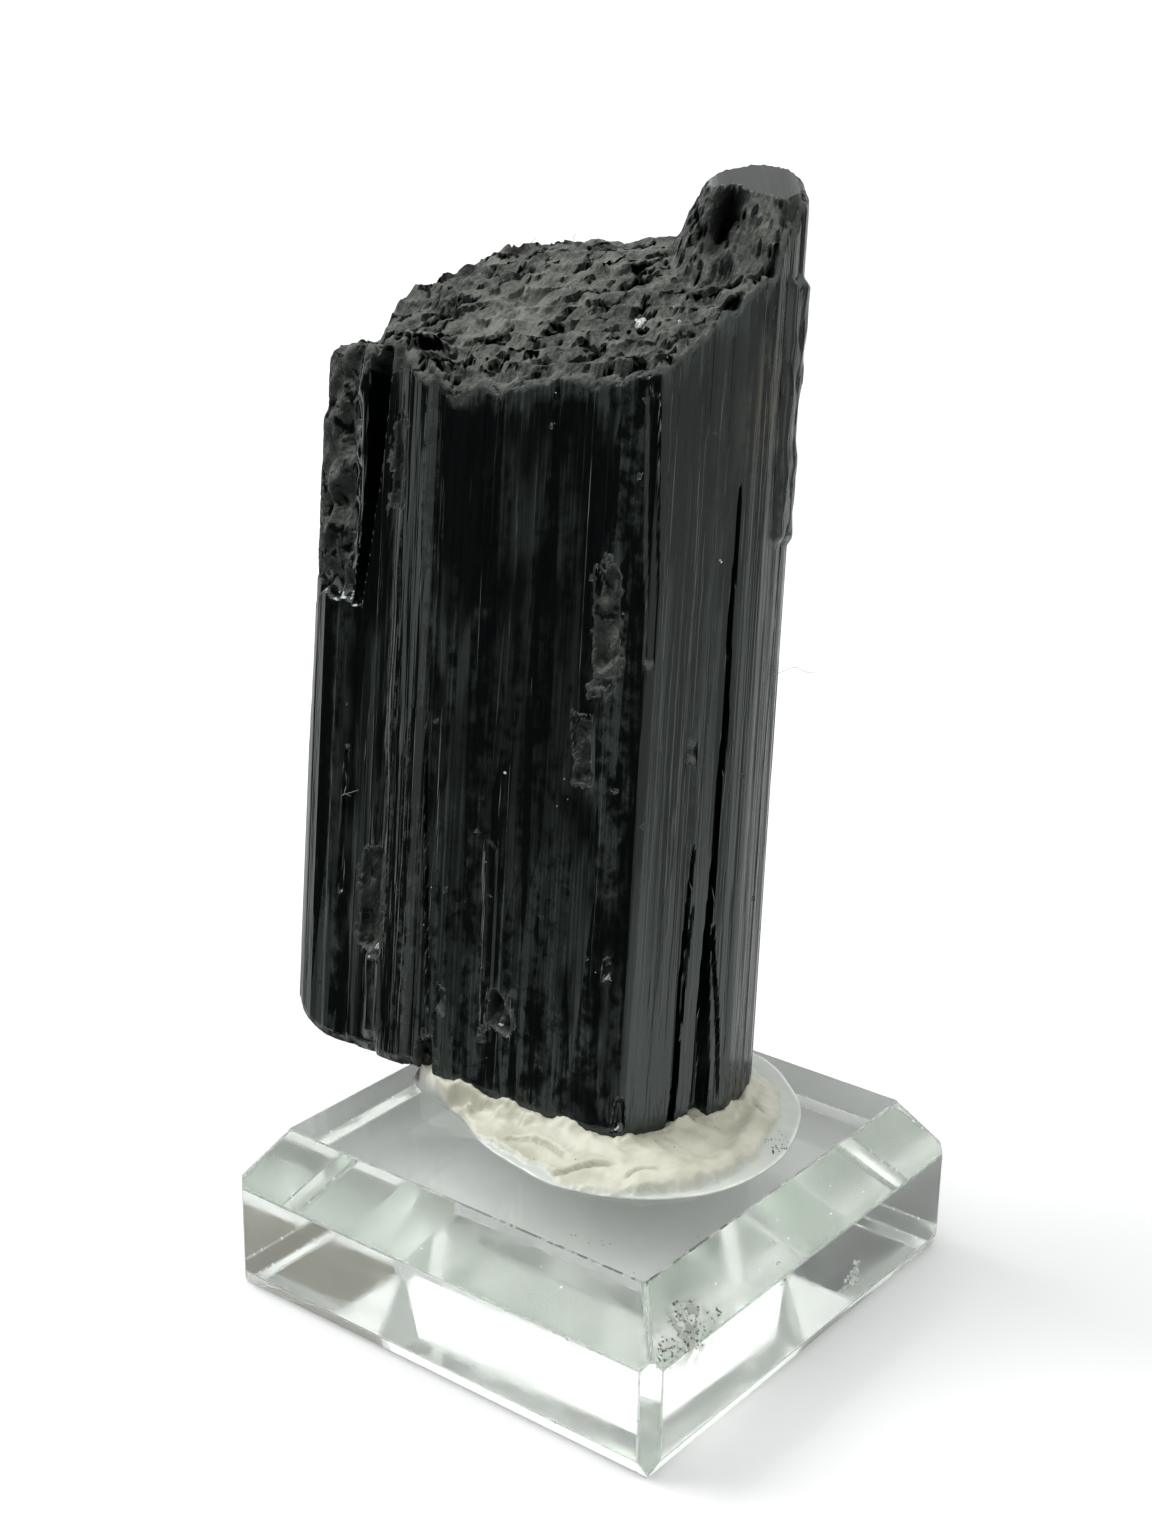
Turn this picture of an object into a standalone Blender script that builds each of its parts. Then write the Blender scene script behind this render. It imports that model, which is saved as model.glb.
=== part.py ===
"""Black tourmaline crystal, set with putty on a clear bevelled display block.

Lengths are in millimetres and become metres where a mesh is made. The crystal has its own
frame: `across` runs along its width, `deep` from its front ridge towards its back, and `up`
along its long axis. Girth is the distance round its side, from the front ridge to the right.
"""
import math
import random
from bisect import bisect_right

import bmesh
import bpy
from mathutils import Euler, Matrix, Vector, noise
from mathutils.geometry import delaunay_2d_cdt

MM = 0.001
GAP = 0.3                       # clearance kept between pieces that rest on each other

# Display block
BLOCK_SIDE = 38.1
BLOCK_HEIGHT = 12.5
SHOULDER_IN = 3.0               # how far the sloping shoulders come in from each side
SHOULDER_DOWN = 4.3
CORNER_FACET = 1.1              # cut off each side at a vertical corner
MITRE_FACET = 0.12              # depth of the narrow facet along each shoulder's mitre
FOOT_IN = 0.6
FOOT_UP = 1.3

# Crystal: where its front ridge meets its foot, and how it stands
RIDGE_FOOT = Vector((-4.1, -5.0, 14.3))
TURN = math.radians(-52.35)     # of its width, from +X
LEAN_BACK = math.radians(12.0)
LEAN_SIDE = math.radians(2.25)

# Crystal: corners of its cross-section (across, deep, rounding radius), anticlockwise
CORNERS = (
    (0.0, 0.0, 0.9),            # front ridge
    (7.9, 4.56, 2.2),
    (9.9, 8.0, 2.4),
    (9.7, 12.9, 3.0),
    (3.8, 17.8, 4.5),
    (-7.0, 21.0, 8.0),
    (-18.3, 21.4, 3.0),
    (-23.1, 18.0, 2.0),
    (-25.7, 14.83, 2.0),        # left edge
)

# Crystal: the broken top, which climbs from its front edge to a plateau
TOP_AT_RIDGE = 53.7
TOP_SLOPE = (0.52, 0.72)        # rise per millimetre across and deep
PLATEAU = 63.4
PLATEAU_BLEND = 2.5             # span over which the climb turns level
LEDGE_TOP = 54.8                # the part left of the deep slot ends lower
LEDGE_RIGHT = -20.6             # its right side (across)
LEDGE_BLEND = 1.4
LIP = Vector((-18.9, 11.0))     # beside the slot the front edge turns up to a lip
LIP_HEIGHT = 3.4
LIP_RADIUS = 5.0
LUMPS = ((0.4, 0.51), (0.9, 0.38))  # of the broken top: per millimetre, and height

# Crystal: the spire on the right of the plateau
SPIRE = ((2.9, 8.0), (8.0, 5.4), (11.2, 8.2), (11.0, 13.0), (7.0, 15.6), (2.2, 12.8))
SPIRE_TOP = 66.6                # height of its facet at its front edge
SPIRE_FRONT = 7.8
SPIRE_SLOPE = 0.42
SPIRE_STEEPNESS = 2.2           # rise per millimetre of its broken sides
SPIRE_FOOT = 2.4                # how far the broken top has risen where they start

# Crystal: the broken foot, nearly level, higher towards the left
FOOT_LEVEL = 13.6
FOOT_RISE = 0.09                # per millimetre
FOOT_FLAT = 4.0                 # width, left of the ridge, before it starts to rise
FOOT_LUMPS = (0.4, 0.32)        # per millimetre, and height
WORN_FROM = -22.3               # left of this the foot's corner is worn round
WORN_RADIUS = 2.75

# Crystal: growth steps, each a flat strip as high as the crystal
STEP_SEED = 7
STEP_WIDTH = (0.4, 2.6)
STEP_BIAS = 3                   # the higher, the more of the strips are narrow
STEP_DEPTH = 0.2

# Crystal: slots, hollows and raised strips in its side. Each has its middle's girth, its width
# and its depth at its lower and at its upper end; a negative depth stands out.
#   (low girth, high girth, low height, high height, low width, high width, depth, rough)
MARKS = (
    (-26.6, -26.6, 36.0, 70.0, 4.4, 4.4, 0.7, 0.6),      # rough ledge down the upper left
    (-28.4, -28.4, 49.5, 70.0, 3.4, 3.4, 0.3, 0.0),      # its outer corner, broken back
    (-23.9, -23.0, 36.0, 45.5, 0.8, 1.1, 1.4, 0.0),      # slot beside the ledge, lower part
    (-22.9, -22.7, 45.5, 70.0, 1.5, 1.9, 2.6, 0.0),      # and its deep upper part
    (-24.4, -24.1, 15.0, 36.0, 0.5, 0.7, 0.5, 0.0),      # it runs on as a fine crack
    (-19.2, -19.2, -9.0, 70.0, 2.8, 2.6, -0.45, 0.0),    # raised strip beside the slot
    (-21.5, -21.5, 13.5, 18.5, 1.7, 1.7, 0.5, 0.3),      # chipped pocket
    (-22.0, -22.0, -9.0, 12.5, 1.6, 1.6, -0.3, 0.0),     # low strip under the pocket
    (-3.3, -3.3, 33.2, 40.0, 2.2, 2.2, 0.8, 0.0),        # oblong hollow left of the ridge
    (-4.7, -4.7, 25.2, 29.6, 1.5, 1.5, 0.6, 0.0),        # smaller hollow below it
    (-12.6, -12.6, 7.4, 10.9, 2.4, 2.4, 0.9, 0.5),       # pitted crater low on the front
    (-17.2, -17.2, -9.0, 4.2, 1.4, 1.4, 0.7, 0.4),       # notch in the lower edge
    (5.7, 6.9, -9.0, 46.0, 1.1, 0.25, 1.2, 0.0),         # long open crack on the right
    (3.8, 5.1, -9.0, 20.0, 0.7, 0.3, 0.7, 0.0),          # second crack beside it
    (12.4, 12.4, 42.0, 60.5, 2.6, 2.6, -0.4, 0.3),       # sliver along the right edge
)
MARK_FADE = 0.8                 # length over which a mark starts and ends
MARK_EDGE = 0.25                # share of its width over which it gets its depth
MARK_LUMPS = (0.9, 0.5)         # of rough marks, per millimetre round and along

# Crystal: how finely the solid is cut
ARC_POINTS = 5                  # of each rounded corner
OUTWARD_REACH = 0.9             # girth over which the outward direction is evened out
COLUMN_SPACING = 0.32           # the least between two columns
MARK_COLUMNS = (-0.6, -0.35, 0.0, 0.35, 0.6)    # columns on a mark, in widths from its middle
ROW_COUNT = 26
ROW_CROWDING = 0.55             # how much closer the rows are near the ends, 0 to 1
TOP_SPACING = 0.95
FOOT_SPACING = 2.4
FILL_MARGIN = 0.55              # spacings kept free along the edge of a filled ring
RIM_ROUNDING = 0.45

# Putty: its outline on the block, anticlockwise from the left
PUTTY_OUTLINE = (
    (-3.4, 14.6), (-5.6, 7.6), (-8.7, 3.9), (-9.8, -0.3), (-10.1, -4.6), (-7.9, -9.6),
    (-3.6, -13.2), (2.6, -14.1), (9.3, -11.7), (12.8, -8.4), (15.2, -4.4), (15.7, 1.5),
    (14.9, 8.0), (12.0, 13.4), (6.0, 15.4),
)
PUTTY_RIM = 0.5                 # thickness at its edge
PUTTY_MOUND = 1.35              # thickness where it swells round the crystal's foot
PUTTY_SWELL = 4.0               # width over which it thickens from its edge
PUTTY_WAVES = 0.25              # their height, and how many come per millimetre
PUTTY_SPACING = 1.35
BED_POINTS = 60                 # round the crystal's foot
BED_MARGIN = 1.85               # kept flat round the foot before the putty rises
BED_CLEARANCE = 0.08            # under the foot, besides the gap


# ---------------------------------------------------------------- helpers

def material(name, color, roughness, metallic=0.0, transmission=0.0, ior=1.5):
    mat = bpy.data.materials.new(name)
    mat.use_nodes = True
    shader = mat.node_tree.nodes["Principled BSDF"]
    shader.inputs["Base Color"].default_value = (*color, 1.0)
    shader.inputs["Roughness"].default_value = roughness
    shader.inputs["Metallic"].default_value = metallic
    shader.inputs["Transmission Weight"].default_value = transmission
    shader.inputs["IOR"].default_value = ior
    return mat


def add_object(name, bm, mat, parent):
    """Turn a bmesh in millimetres into an object in metres."""
    bmesh.ops.scale(bm, vec=(MM, MM, MM), verts=bm.verts)
    bmesh.ops.recalc_face_normals(bm, faces=bm.faces)
    mesh = bpy.data.meshes.new(name)
    bm.to_mesh(mesh)
    bm.free()
    mesh.materials.append(mat)
    obj = bpy.data.objects.new(name, mesh)
    obj.parent = parent
    bpy.context.scene.collection.objects.link(obj)
    return obj


def filleted(corners):
    """The closed line through corners (x, y, radius), with each corner an arc."""
    line = []
    for index, (x, y, radius) in enumerate(corners):
        here = Vector((x, y))
        before = (Vector(corners[index - 1][:2]) - here).normalized()
        after = (Vector(corners[(index + 1) % len(corners)][:2]) - here).normalized()
        half_angle = before.angle(after) / 2
        middle = (before + after).normalized()
        centre = here + middle * radius / math.sin(half_angle)
        start = (here + before * radius / math.tan(half_angle) - centre).normalized()
        end = (here + after * radius / math.tan(half_angle) - centre).normalized()
        for step in range(ARC_POINTS):
            line.append(centre + radius * start.slerp(end, step / (ARC_POINTS - 1)))
    return line


class Outline:
    """A closed line that gives a point and the outward direction at any girth."""

    def __init__(self, points):
        self.points = points + points[:1]
        self.girths = [0.0]
        for first, second in zip(self.points, self.points[1:]):
            self.girths.append(self.girths[-1] + (second - first).length)
        self.length = self.girths[-1]

    def point(self, girth):
        girth %= self.length
        index = min(bisect_right(self.girths, girth), len(self.points) - 1)
        span = self.girths[index] - self.girths[index - 1]
        part = (girth - self.girths[index - 1]) / span
        return self.points[index - 1].lerp(self.points[index], part)

    def outward(self, girth):
        along = self.point(girth + OUTWARD_REACH) - self.point(girth - OUTWARD_REACH)
        return Vector((along.y, -along.x)).normalized()


def smooth(value):
    value = min(max(value, 0.0), 1.0)
    return value * value * (3 - 2 * value)


def smooth_min(first, second, blend):
    part = max(blend - abs(first - second), 0.0) / blend
    return min(first, second) - part * part * blend / 4


def distance_inside(point, ring):
    """Distance from a point to a closed ring, positive inside it."""
    inside = False
    nearest = math.inf
    for start, end in zip(ring, ring[1:] + ring[:1]):
        side = end - start
        part = max(0.0, min(1.0, (point - start).dot(side) / side.length_squared))
        nearest = min(nearest, (start + side * part - point).length)
        if (start.y > point.y) != (end.y > point.y):
            crossing = start.x + (point.y - start.y) * side.x / side.y
            inside ^= point.x < crossing
    return nearest if inside else -nearest


def fill_ring(bm, ring, spacing, height_at):
    """Close a ring of vertices with triangles, over points a spacing apart inside it."""
    flat = [Vector(vert.co.xy) for vert in ring]
    low_x = min(point.x for point in flat)
    high_x = max(point.x for point in flat)
    low_y = min(point.y for point in flat)
    high_y = max(point.y for point in flat)
    inner = []
    row_height = spacing * math.sqrt(3) / 2
    for row in range(int((high_y - low_y) / row_height) + 1):
        for column in range(int((high_x - low_x) / spacing) + 1):
            point = Vector((low_x + (column + row % 2 / 2) * spacing, low_y + row * row_height))
            if distance_inside(point, flat) > spacing * FILL_MARGIN:
                inner.append(point)
    edges = [(index, (index + 1) % len(flat)) for index in range(len(flat))]
    result = delaunay_2d_cdt(flat + inner, edges, [], 1, 1e-5)
    verts = list(ring)
    verts += [bm.verts.new((*point, height_at(point))) for point in inner]
    for face in result[2]:
        bm.faces.new([verts[result[3][corner][0]] for corner in face])


# ---------------------------------------------------------------- display block

def slice_off(bm, point, normal):
    """Cut a convex solid by a plane, drop what lies beyond it and close the cut."""
    geometry = bm.verts[:] + bm.edges[:] + bm.faces[:]
    cut = bmesh.ops.bisect_plane(bm, geom=geometry, plane_co=point, plane_no=normal, clear_outer=True)
    edges = [item for item in cut["geom_cut"] if isinstance(item, bmesh.types.BMEdge)]
    bmesh.ops.edgeloop_fill(bm, edges=edges)


def display_base(parent):
    bm = bmesh.new()
    half = BLOCK_SIDE / 2
    bmesh.ops.create_cube(bm, size=1.0)
    bmesh.ops.scale(bm, vec=(BLOCK_SIDE, BLOCK_SIDE, BLOCK_HEIGHT), verts=bm.verts)
    bmesh.ops.translate(bm, vec=(0, 0, BLOCK_HEIGHT / 2), verts=bm.verts)
    shoulder_z = BLOCK_HEIGHT - SHOULDER_DOWN
    for quarter in range(4):
        turn = Matrix.Rotation(quarter * math.pi / 2, 3, "Z")
        slice_off(bm, turn @ Vector((half, 0, shoulder_z)), turn @ Vector((SHOULDER_DOWN, 0, SHOULDER_IN)))
        slice_off(bm, turn @ Vector((half, 0, FOOT_UP)), turn @ Vector((FOOT_UP, 0, -FOOT_IN)))
    for quarter in range(4):
        turn = Matrix.Rotation(quarter * math.pi / 2, 3, "Z")
        mitre = Vector((SHOULDER_DOWN, SHOULDER_DOWN, 2 * SHOULDER_IN)).normalized()
        corner = Vector((half, half, shoulder_z))
        slice_off(bm, turn @ (corner - mitre * MITRE_FACET), turn @ mitre)
        slice_off(bm, turn @ Vector((half - CORNER_FACET, half, 0)), turn @ Vector((1, 1, 0)))
    glass = material("clear_block", (0.87, 0.91, 0.89), 0.03, transmission=1.0, ior=1.5)
    return add_object("display_base", bm, glass, parent)


# ---------------------------------------------------------------- crystal

SECTION = Outline(filleted(CORNERS))
STANCE = Matrix.LocRotScale(RIDGE_FOOT, Euler((-LEAN_BACK, LEAN_SIDE, TURN)), None)
SPIRE_RING = [Vector(corner) for corner in SPIRE]


def lumps(point, per_mm):
    """Even noise between -1 and 1 over a point of the cross-section."""
    return noise.noise(Vector((point.x * per_mm, point.y * per_mm, 1 / per_mm)))


def top_height(point):
    """Height of the broken top over a point of the cross-section."""
    slope = TOP_AT_RIDGE + TOP_SLOPE[0] * point.x + TOP_SLOPE[1] * point.y
    slope = smooth_min(slope, PLATEAU, PLATEAU_BLEND)
    slope += LIP_HEIGHT * smooth(1 - (point - LIP).length / LIP_RADIUS)
    slope += (LEDGE_TOP - slope) * smooth((LEDGE_RIGHT - point.x) / LEDGE_BLEND + 0.5)
    rough = sum(height * lumps(point, size) for size, height in LUMPS)
    facet = SPIRE_TOP + SPIRE_SLOPE * (point.y - SPIRE_FRONT)
    flank = slope + SPIRE_FOOT + SPIRE_STEEPNESS * distance_inside(point, SPIRE_RING) + 2 * rough
    return max(slope + rough, min(facet, flank))


def foot_height(point):
    """Height, along the crystal, of its broken foot, which is nearly level on the putty."""
    rise = FOOT_RISE * max(0.0, -point.x - FOOT_FLAT)
    rough = FOOT_LUMPS[1] * lumps(point, FOOT_LUMPS[0])
    worn = min(max(WORN_FROM - point.x, 0.0) / WORN_RADIUS, 1.0)
    rise += WORN_RADIUS * (1 - math.sqrt(1 - worn * worn))
    level = FOOT_LEVEL + rise + rough - STANCE[2][3]
    return (level - STANCE[2][0] * point.x - STANCE[2][1] * point.y) / STANCE[2][2]


def growth_steps():
    """Girths of the edges between flat strips, and how far each edge stands out."""
    draw = random.Random(STEP_SEED)
    edges = []
    girth = 0.0
    while girth < SECTION.length - STEP_WIDTH[0]:
        edges.append((girth, draw.uniform(-1.0, 1.0) * STEP_DEPTH))
        girth += STEP_WIDTH[0] + (STEP_WIDTH[1] - STEP_WIDTH[0]) * draw.random() ** STEP_BIAS
    return edges


STEPS = growth_steps()


def step_offset(girth):
    girth %= SECTION.length
    index = bisect_right([edge[0] for edge in STEPS], girth)
    before = STEPS[index - 1]
    after = STEPS[index] if index < len(STEPS) else (SECTION.length, STEPS[0][1])
    part = (girth - before[0]) / (after[0] - before[0])
    return before[1] + (after[1] - before[1]) * part


def mark_offset(girth, height):
    """How far the slots, hollows and raised strips move the side at a point of it."""
    offset = 0.0
    for low_girth, high_girth, low, high, low_width, high_width, depth, rough in MARKS:
        part = (height - low) / (high - low)
        middle = low_girth + (high_girth - low_girth) * part
        width = low_width + (high_width - low_width) * part
        away = (girth - middle + SECTION.length / 2) % SECTION.length - SECTION.length / 2
        across = smooth((width / 2 - abs(away)) / (MARK_EDGE * width) + 0.5)
        along = smooth(min(height - low, high - height) / MARK_FADE + 0.5)
        place = Vector((girth * MARK_LUMPS[0], height * MARK_LUMPS[1], depth))
        uneven = 1 + rough * 2 * noise.noise(place)
        offset -= depth * across * along * uneven
    return offset


def side_point(girth, height):
    reach = step_offset(girth) + mark_offset(girth, height)
    return SECTION.point(girth) + SECTION.outward(girth) * reach


def column_girths():
    """Columns at every growth step's edge and at the edges and middles of the marks."""
    girths = [edge[0] for edge in STEPS]
    for low_girth, high_girth, _, _, low_width, high_width, _, _ in MARKS:
        middle = (low_girth + high_girth) / 2
        width = (low_width + high_width) / 2
        girths += [(middle + side * width) % SECTION.length for side in MARK_COLUMNS]
    girths.sort()
    kept = [girths[0]]
    for girth in girths[1:]:
        if girth - kept[-1] > COLUMN_SPACING:
            kept.append(girth)
    return kept


def crystal(parent):
    bm = bmesh.new()
    rows = []
    girths = column_girths()
    for row in range(ROW_COUNT + 1):
        part = row / ROW_COUNT
        part += ROW_CROWDING * ((1 - math.cos(math.pi * part)) / 2 - part)
        ring = []
        for girth in girths:
            foot = foot_height(SECTION.point(girth))
            top = top_height(side_point(girth, TOP_AT_RIDGE))
            height = foot + (top - foot) * part
            place = side_point(girth, height)
            if row in (0, ROW_COUNT):
                place = place - SECTION.outward(girth) * RIM_ROUNDING
            ring.append(bm.verts.new((*place, height)))
        rows.append(ring)
    for lower, upper in zip(rows, rows[1:]):
        for index in range(len(girths)):
            after = (index + 1) % len(girths)
            bm.faces.new((lower[index], lower[after], upper[after], upper[index]))
    fill_ring(bm, rows[-1], TOP_SPACING, top_height)
    fill_ring(bm, rows[0], FOOT_SPACING, foot_height)
    bmesh.ops.triangulate(bm, faces=bm.faces)
    schorl = material("black_tourmaline", (0.018, 0.019, 0.018), 0.32, ior=1.64)
    obj = add_object("crystal", bm, schorl, parent)
    obj.location = STANCE.translation * MM
    obj.rotation_euler = STANCE.to_euler()
    return obj


# ---------------------------------------------------------------- putty

def putty_outline():
    """The outline as a smooth closed line, with a point about every spacing."""
    count = len(PUTTY_OUTLINE)
    knots = [Vector(point) for point in PUTTY_OUTLINE]
    line = []
    for index in range(count):
        before, here, after, beyond = (knots[(index + step) % count] for step in (-1, 0, 1, 2))
        pieces = max(2, round((after - here).length / PUTTY_SPACING))
        for piece in range(pieces):
            t = piece / pieces
            line.append(0.5 * (2 * here + (after - before) * t
                               + (2 * before - 5 * here + 4 * after - beyond) * t * t
                               + (3 * here - before - 3 * after + beyond) * t ** 3))
    return line


def mounting_putty(parent):
    bm = bmesh.new()
    outline = putty_outline()
    underside = BLOCK_HEIGHT + GAP
    into_crystal = STANCE.inverted()
    foot_ring = []
    for step in range(BED_POINTS):
        girth = SECTION.length * step / BED_POINTS
        point = SECTION.point(girth) + SECTION.outward(girth) * STEP_DEPTH
        foot_ring.append((STANCE @ Vector((*point, foot_height(point) + 1))).xy)

    def surface(point):
        """Top of the putty: a low mound, with a bed under the crystal's foot."""
        across_deep = (into_crystal @ Vector((*point, FOOT_LEVEL))).xy
        bed = (STANCE @ Vector((*across_deep, foot_height(across_deep)))).z - GAP
        clear = -distance_inside(point, foot_ring) - BED_MARGIN
        swell = smooth(distance_inside(point, outline) / PUTTY_SWELL)
        wave = PUTTY_WAVES * lumps(point, PUTTY_WAVES)
        mound = underside + PUTTY_RIM + (PUTTY_MOUND - PUTTY_RIM + wave) * swell
        bed = min(mound, bed - BED_CLEARANCE)
        return bed + (mound - bed) * smooth(clear / PUTTY_SPACING)

    lower = [bm.verts.new((*point, underside)) for point in outline]
    upper = [bm.verts.new((*point, surface(point))) for point in outline]
    for index in range(len(outline)):
        after = (index + 1) % len(outline)
        bm.faces.new((lower[index], lower[after], upper[after], upper[index]))
    bm.faces.new(lower[::-1])
    fill_ring(bm, upper, PUTTY_SPACING, surface)
    bmesh.ops.triangulate(bm, faces=bm.faces)
    cream = material("cream_putty", (0.78, 0.74, 0.63), 0.55)
    return add_object("mounting_putty", bm, cream, parent)


# ---------------------------------------------------------------- the whole

def main():
    for obj in list(bpy.data.objects):
        bpy.data.objects.remove(obj)
    specimen = bpy.data.objects.new("specimen", None)
    bpy.context.scene.collection.objects.link(specimen)
    display_base(specimen)
    mounting_putty(specimen)
    crystal(specimen)


main()
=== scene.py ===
"""Black tourmaline crystal, set with putty on a clear bevelled block: its finish and its picture.

Lengths are in millimetres and become metres where a mesh is made. The crystal has its own frame:
`across` runs along its width, `deep` from its front ridge towards its back, and `up` along its
long axis. Girth is the distance round its side, from the front ridge to the right.
"""

import math
import random

import bmesh
import bpy
import numpy as np
from mathutils import Euler, Matrix, Vector, noise
from mathutils.geometry import delaunay_2d_cdt


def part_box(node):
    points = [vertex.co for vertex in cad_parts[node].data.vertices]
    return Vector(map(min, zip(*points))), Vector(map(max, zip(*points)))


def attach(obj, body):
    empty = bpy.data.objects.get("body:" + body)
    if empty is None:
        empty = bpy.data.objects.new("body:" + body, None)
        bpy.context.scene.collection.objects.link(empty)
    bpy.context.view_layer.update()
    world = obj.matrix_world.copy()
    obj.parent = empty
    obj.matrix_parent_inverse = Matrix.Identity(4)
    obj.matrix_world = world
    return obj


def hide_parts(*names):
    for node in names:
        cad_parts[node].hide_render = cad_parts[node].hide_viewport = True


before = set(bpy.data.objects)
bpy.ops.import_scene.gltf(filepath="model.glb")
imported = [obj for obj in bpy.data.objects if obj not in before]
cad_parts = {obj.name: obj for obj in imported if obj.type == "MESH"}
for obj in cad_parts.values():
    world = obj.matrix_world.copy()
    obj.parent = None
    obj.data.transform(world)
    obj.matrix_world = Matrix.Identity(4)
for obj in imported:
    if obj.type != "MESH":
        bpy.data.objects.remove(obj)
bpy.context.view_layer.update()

MM = 0.001


# ---------------------------------------------------------------- display block
# A block of clear glass, sawn square, ground with sloping shoulders and polished. Its edges are
# left slightly ground. Handling has nicked them, and left dust and smears on its faces.

block_low, block_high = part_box("display_base")
BLOCK_SIDE = (block_high.x - block_low.x) / MM
BLOCK_HEIGHT = (block_high.z - block_low.z) / MM
SHOULDER_IN = 3.0
SHOULDER_DOWN = 4.3
CORNER_FACET = 1.1
MITRE_FACET = 0.12
FOOT_IN = 0.6
FOOT_UP = 1.3
ARRIS = 0.09                    # width of the ground edges
NICK_SPACING = 0.9
NICK_SIZE = (0.05, 0.17)
NICK_SHARE = 0.4
BLOCK_SEED = 3
NICK_SHIFT = 0.4                # how far each strays along its edge
LUMPY_NICK = (1.3, 1.0)         # lumps of its outline: per radius, height
FULL_TURN = 6.28
GLASS_COLOR = (0.995, 0.998, 0.997, 1.0)
GLASS_DEPTH_COLOR = (0.66, 0.89, 0.64, 1.0)
GLASS_DEPTH_DENSITY = 3.5       # per metre
FILM_COLOR = (0.93, 0.93, 0.90, 1.0)            # of the dust film
ARRIS_COLOR = (0.62, 0.65, 0.62, 1.0)
GRIME_COLOR = (0.05, 0.05, 0.045, 1.0)
GRIME_CORNER = (-0.016, -0.016, 0.0125)         # in metres, as are the places and reaches below
GRIME_REACH = (0.008, 0.03)
GRIME_ABOVE = (0.0122, 0.0124)
SMEAR_COLOR = (0.36, 0.35, 0.30, 1.0)
SMEAR = (-0.0143, -0.0184, 0.0092)
SMEAR_REACH = (0.0008, 0.0042)
POLISHED = 0.015                # roughness of the clean glass, and what is added to it
FILM_ROUGHNESS = 0.13
ARRIS_ROUGHNESS = 0.35
SMEAR_ROUGHNESS = 0.3
UNDERSIDE_ROUGHNESS = 0.09


def node(tree, kind, settings=None, inputs=None):
    """Add a node, set its properties, and give its inputs values or other nodes' outputs."""
    made = tree.nodes.new(kind)
    for name, value in (settings or {}).items():
        setattr(made, name, value)
    for key, value in (inputs or {}).items():
        if isinstance(value, bpy.types.NodeSocket):
            tree.links.new(value, made.inputs[key])
        else:
            made.inputs[key].default_value = value
    return made


def math_node(tree, operation, *values, clamp=False):
    settings = {"operation": operation, "use_clamp": clamp}
    return node(tree, "ShaderNodeMath", settings, dict(enumerate(values))).outputs[0]


def times(tree, first, second):
    return math_node(tree, "MULTIPLY", first, second)


def less(tree, first, second):
    return math_node(tree, "SUBTRACT", first, second)


def part_of(tree, value, part, base):
    """Part of a value on top of a base."""
    return math_node(tree, "MULTIPLY_ADD", value, part, base)


def vector_node(tree, operation, *values, **scale):
    """Work with vectors, which gives a vector, or a number where that is what it works out."""
    inputs = {**dict(enumerate(values)), **scale}
    made = node(tree, "ShaderNodeVectorMath", {"operation": operation}, inputs)
    return made.outputs["Value" if operation in ("DISTANCE", "DOT_PRODUCT", "LENGTH") else "Vector"]


def place_on(tree):
    return node(tree, "ShaderNodeTexCoord").outputs["Object"]


def stored_value(tree, name):
    return node(tree, "ShaderNodeAttribute", {"attribute_name": name}).outputs["Fac"]


def cloudy(tree, place, per_metre, detail=2.0, roughness=0.5):
    """Even noise about a half."""
    return node(tree, "ShaderNodeTexNoise", None,
                {"Vector": place, "Scale": per_metre, "Detail": detail,
                 "Roughness": roughness}).outputs["Fac"]


def height_of(tree, vector):
    return node(tree, "ShaderNodeSeparateXYZ", None, {0: vector}).outputs["Z"]


def ramp(tree, value, low, high, to_low=0.0, to_high=1.0):
    """Turn a value between low and high smoothly into one between to_low and to_high."""
    settings = {"interpolation_type": "SMOOTHSTEP"}
    inputs = {"Value": value, "From Min": low, "From Max": high, "To Min": to_low, "To Max": to_high}
    return node(tree, "ShaderNodeMapRange", settings, inputs).outputs["Result"]


def mix_color(tree, part, first, second):
    """Blend two colours, given as values or sockets."""
    made = node(tree, "ShaderNodeMix", {"data_type": "RGBA"}, {0: part, 6: first, 7: second})
    return made.outputs[2]


def group(name, inputs, outputs):
    """An empty shader node group with named inputs (name, kind, default) and outputs."""
    tree = bpy.data.node_groups.new(name, "ShaderNodeTree")
    for socket, kind, value in inputs:
        made = tree.interface.new_socket(socket, in_out="INPUT", socket_type=kind)
        made.default_value = value
    for socket, kind in outputs:
        tree.interface.new_socket(socket, in_out="OUTPUT", socket_type=kind)
    return tree, tree.nodes.new("NodeGroupInput"), tree.nodes.new("NodeGroupOutput")


def use_group(tree, effect, **inputs):
    made = node(tree, "ShaderNodeGroup", {"node_tree": effect})
    for key, value in inputs.items():
        socket = made.inputs[key.replace("_", " ")]
        if isinstance(value, bpy.types.NodeSocket):
            tree.links.new(value, socket)
        else:
            socket.default_value = value
    return made


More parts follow.
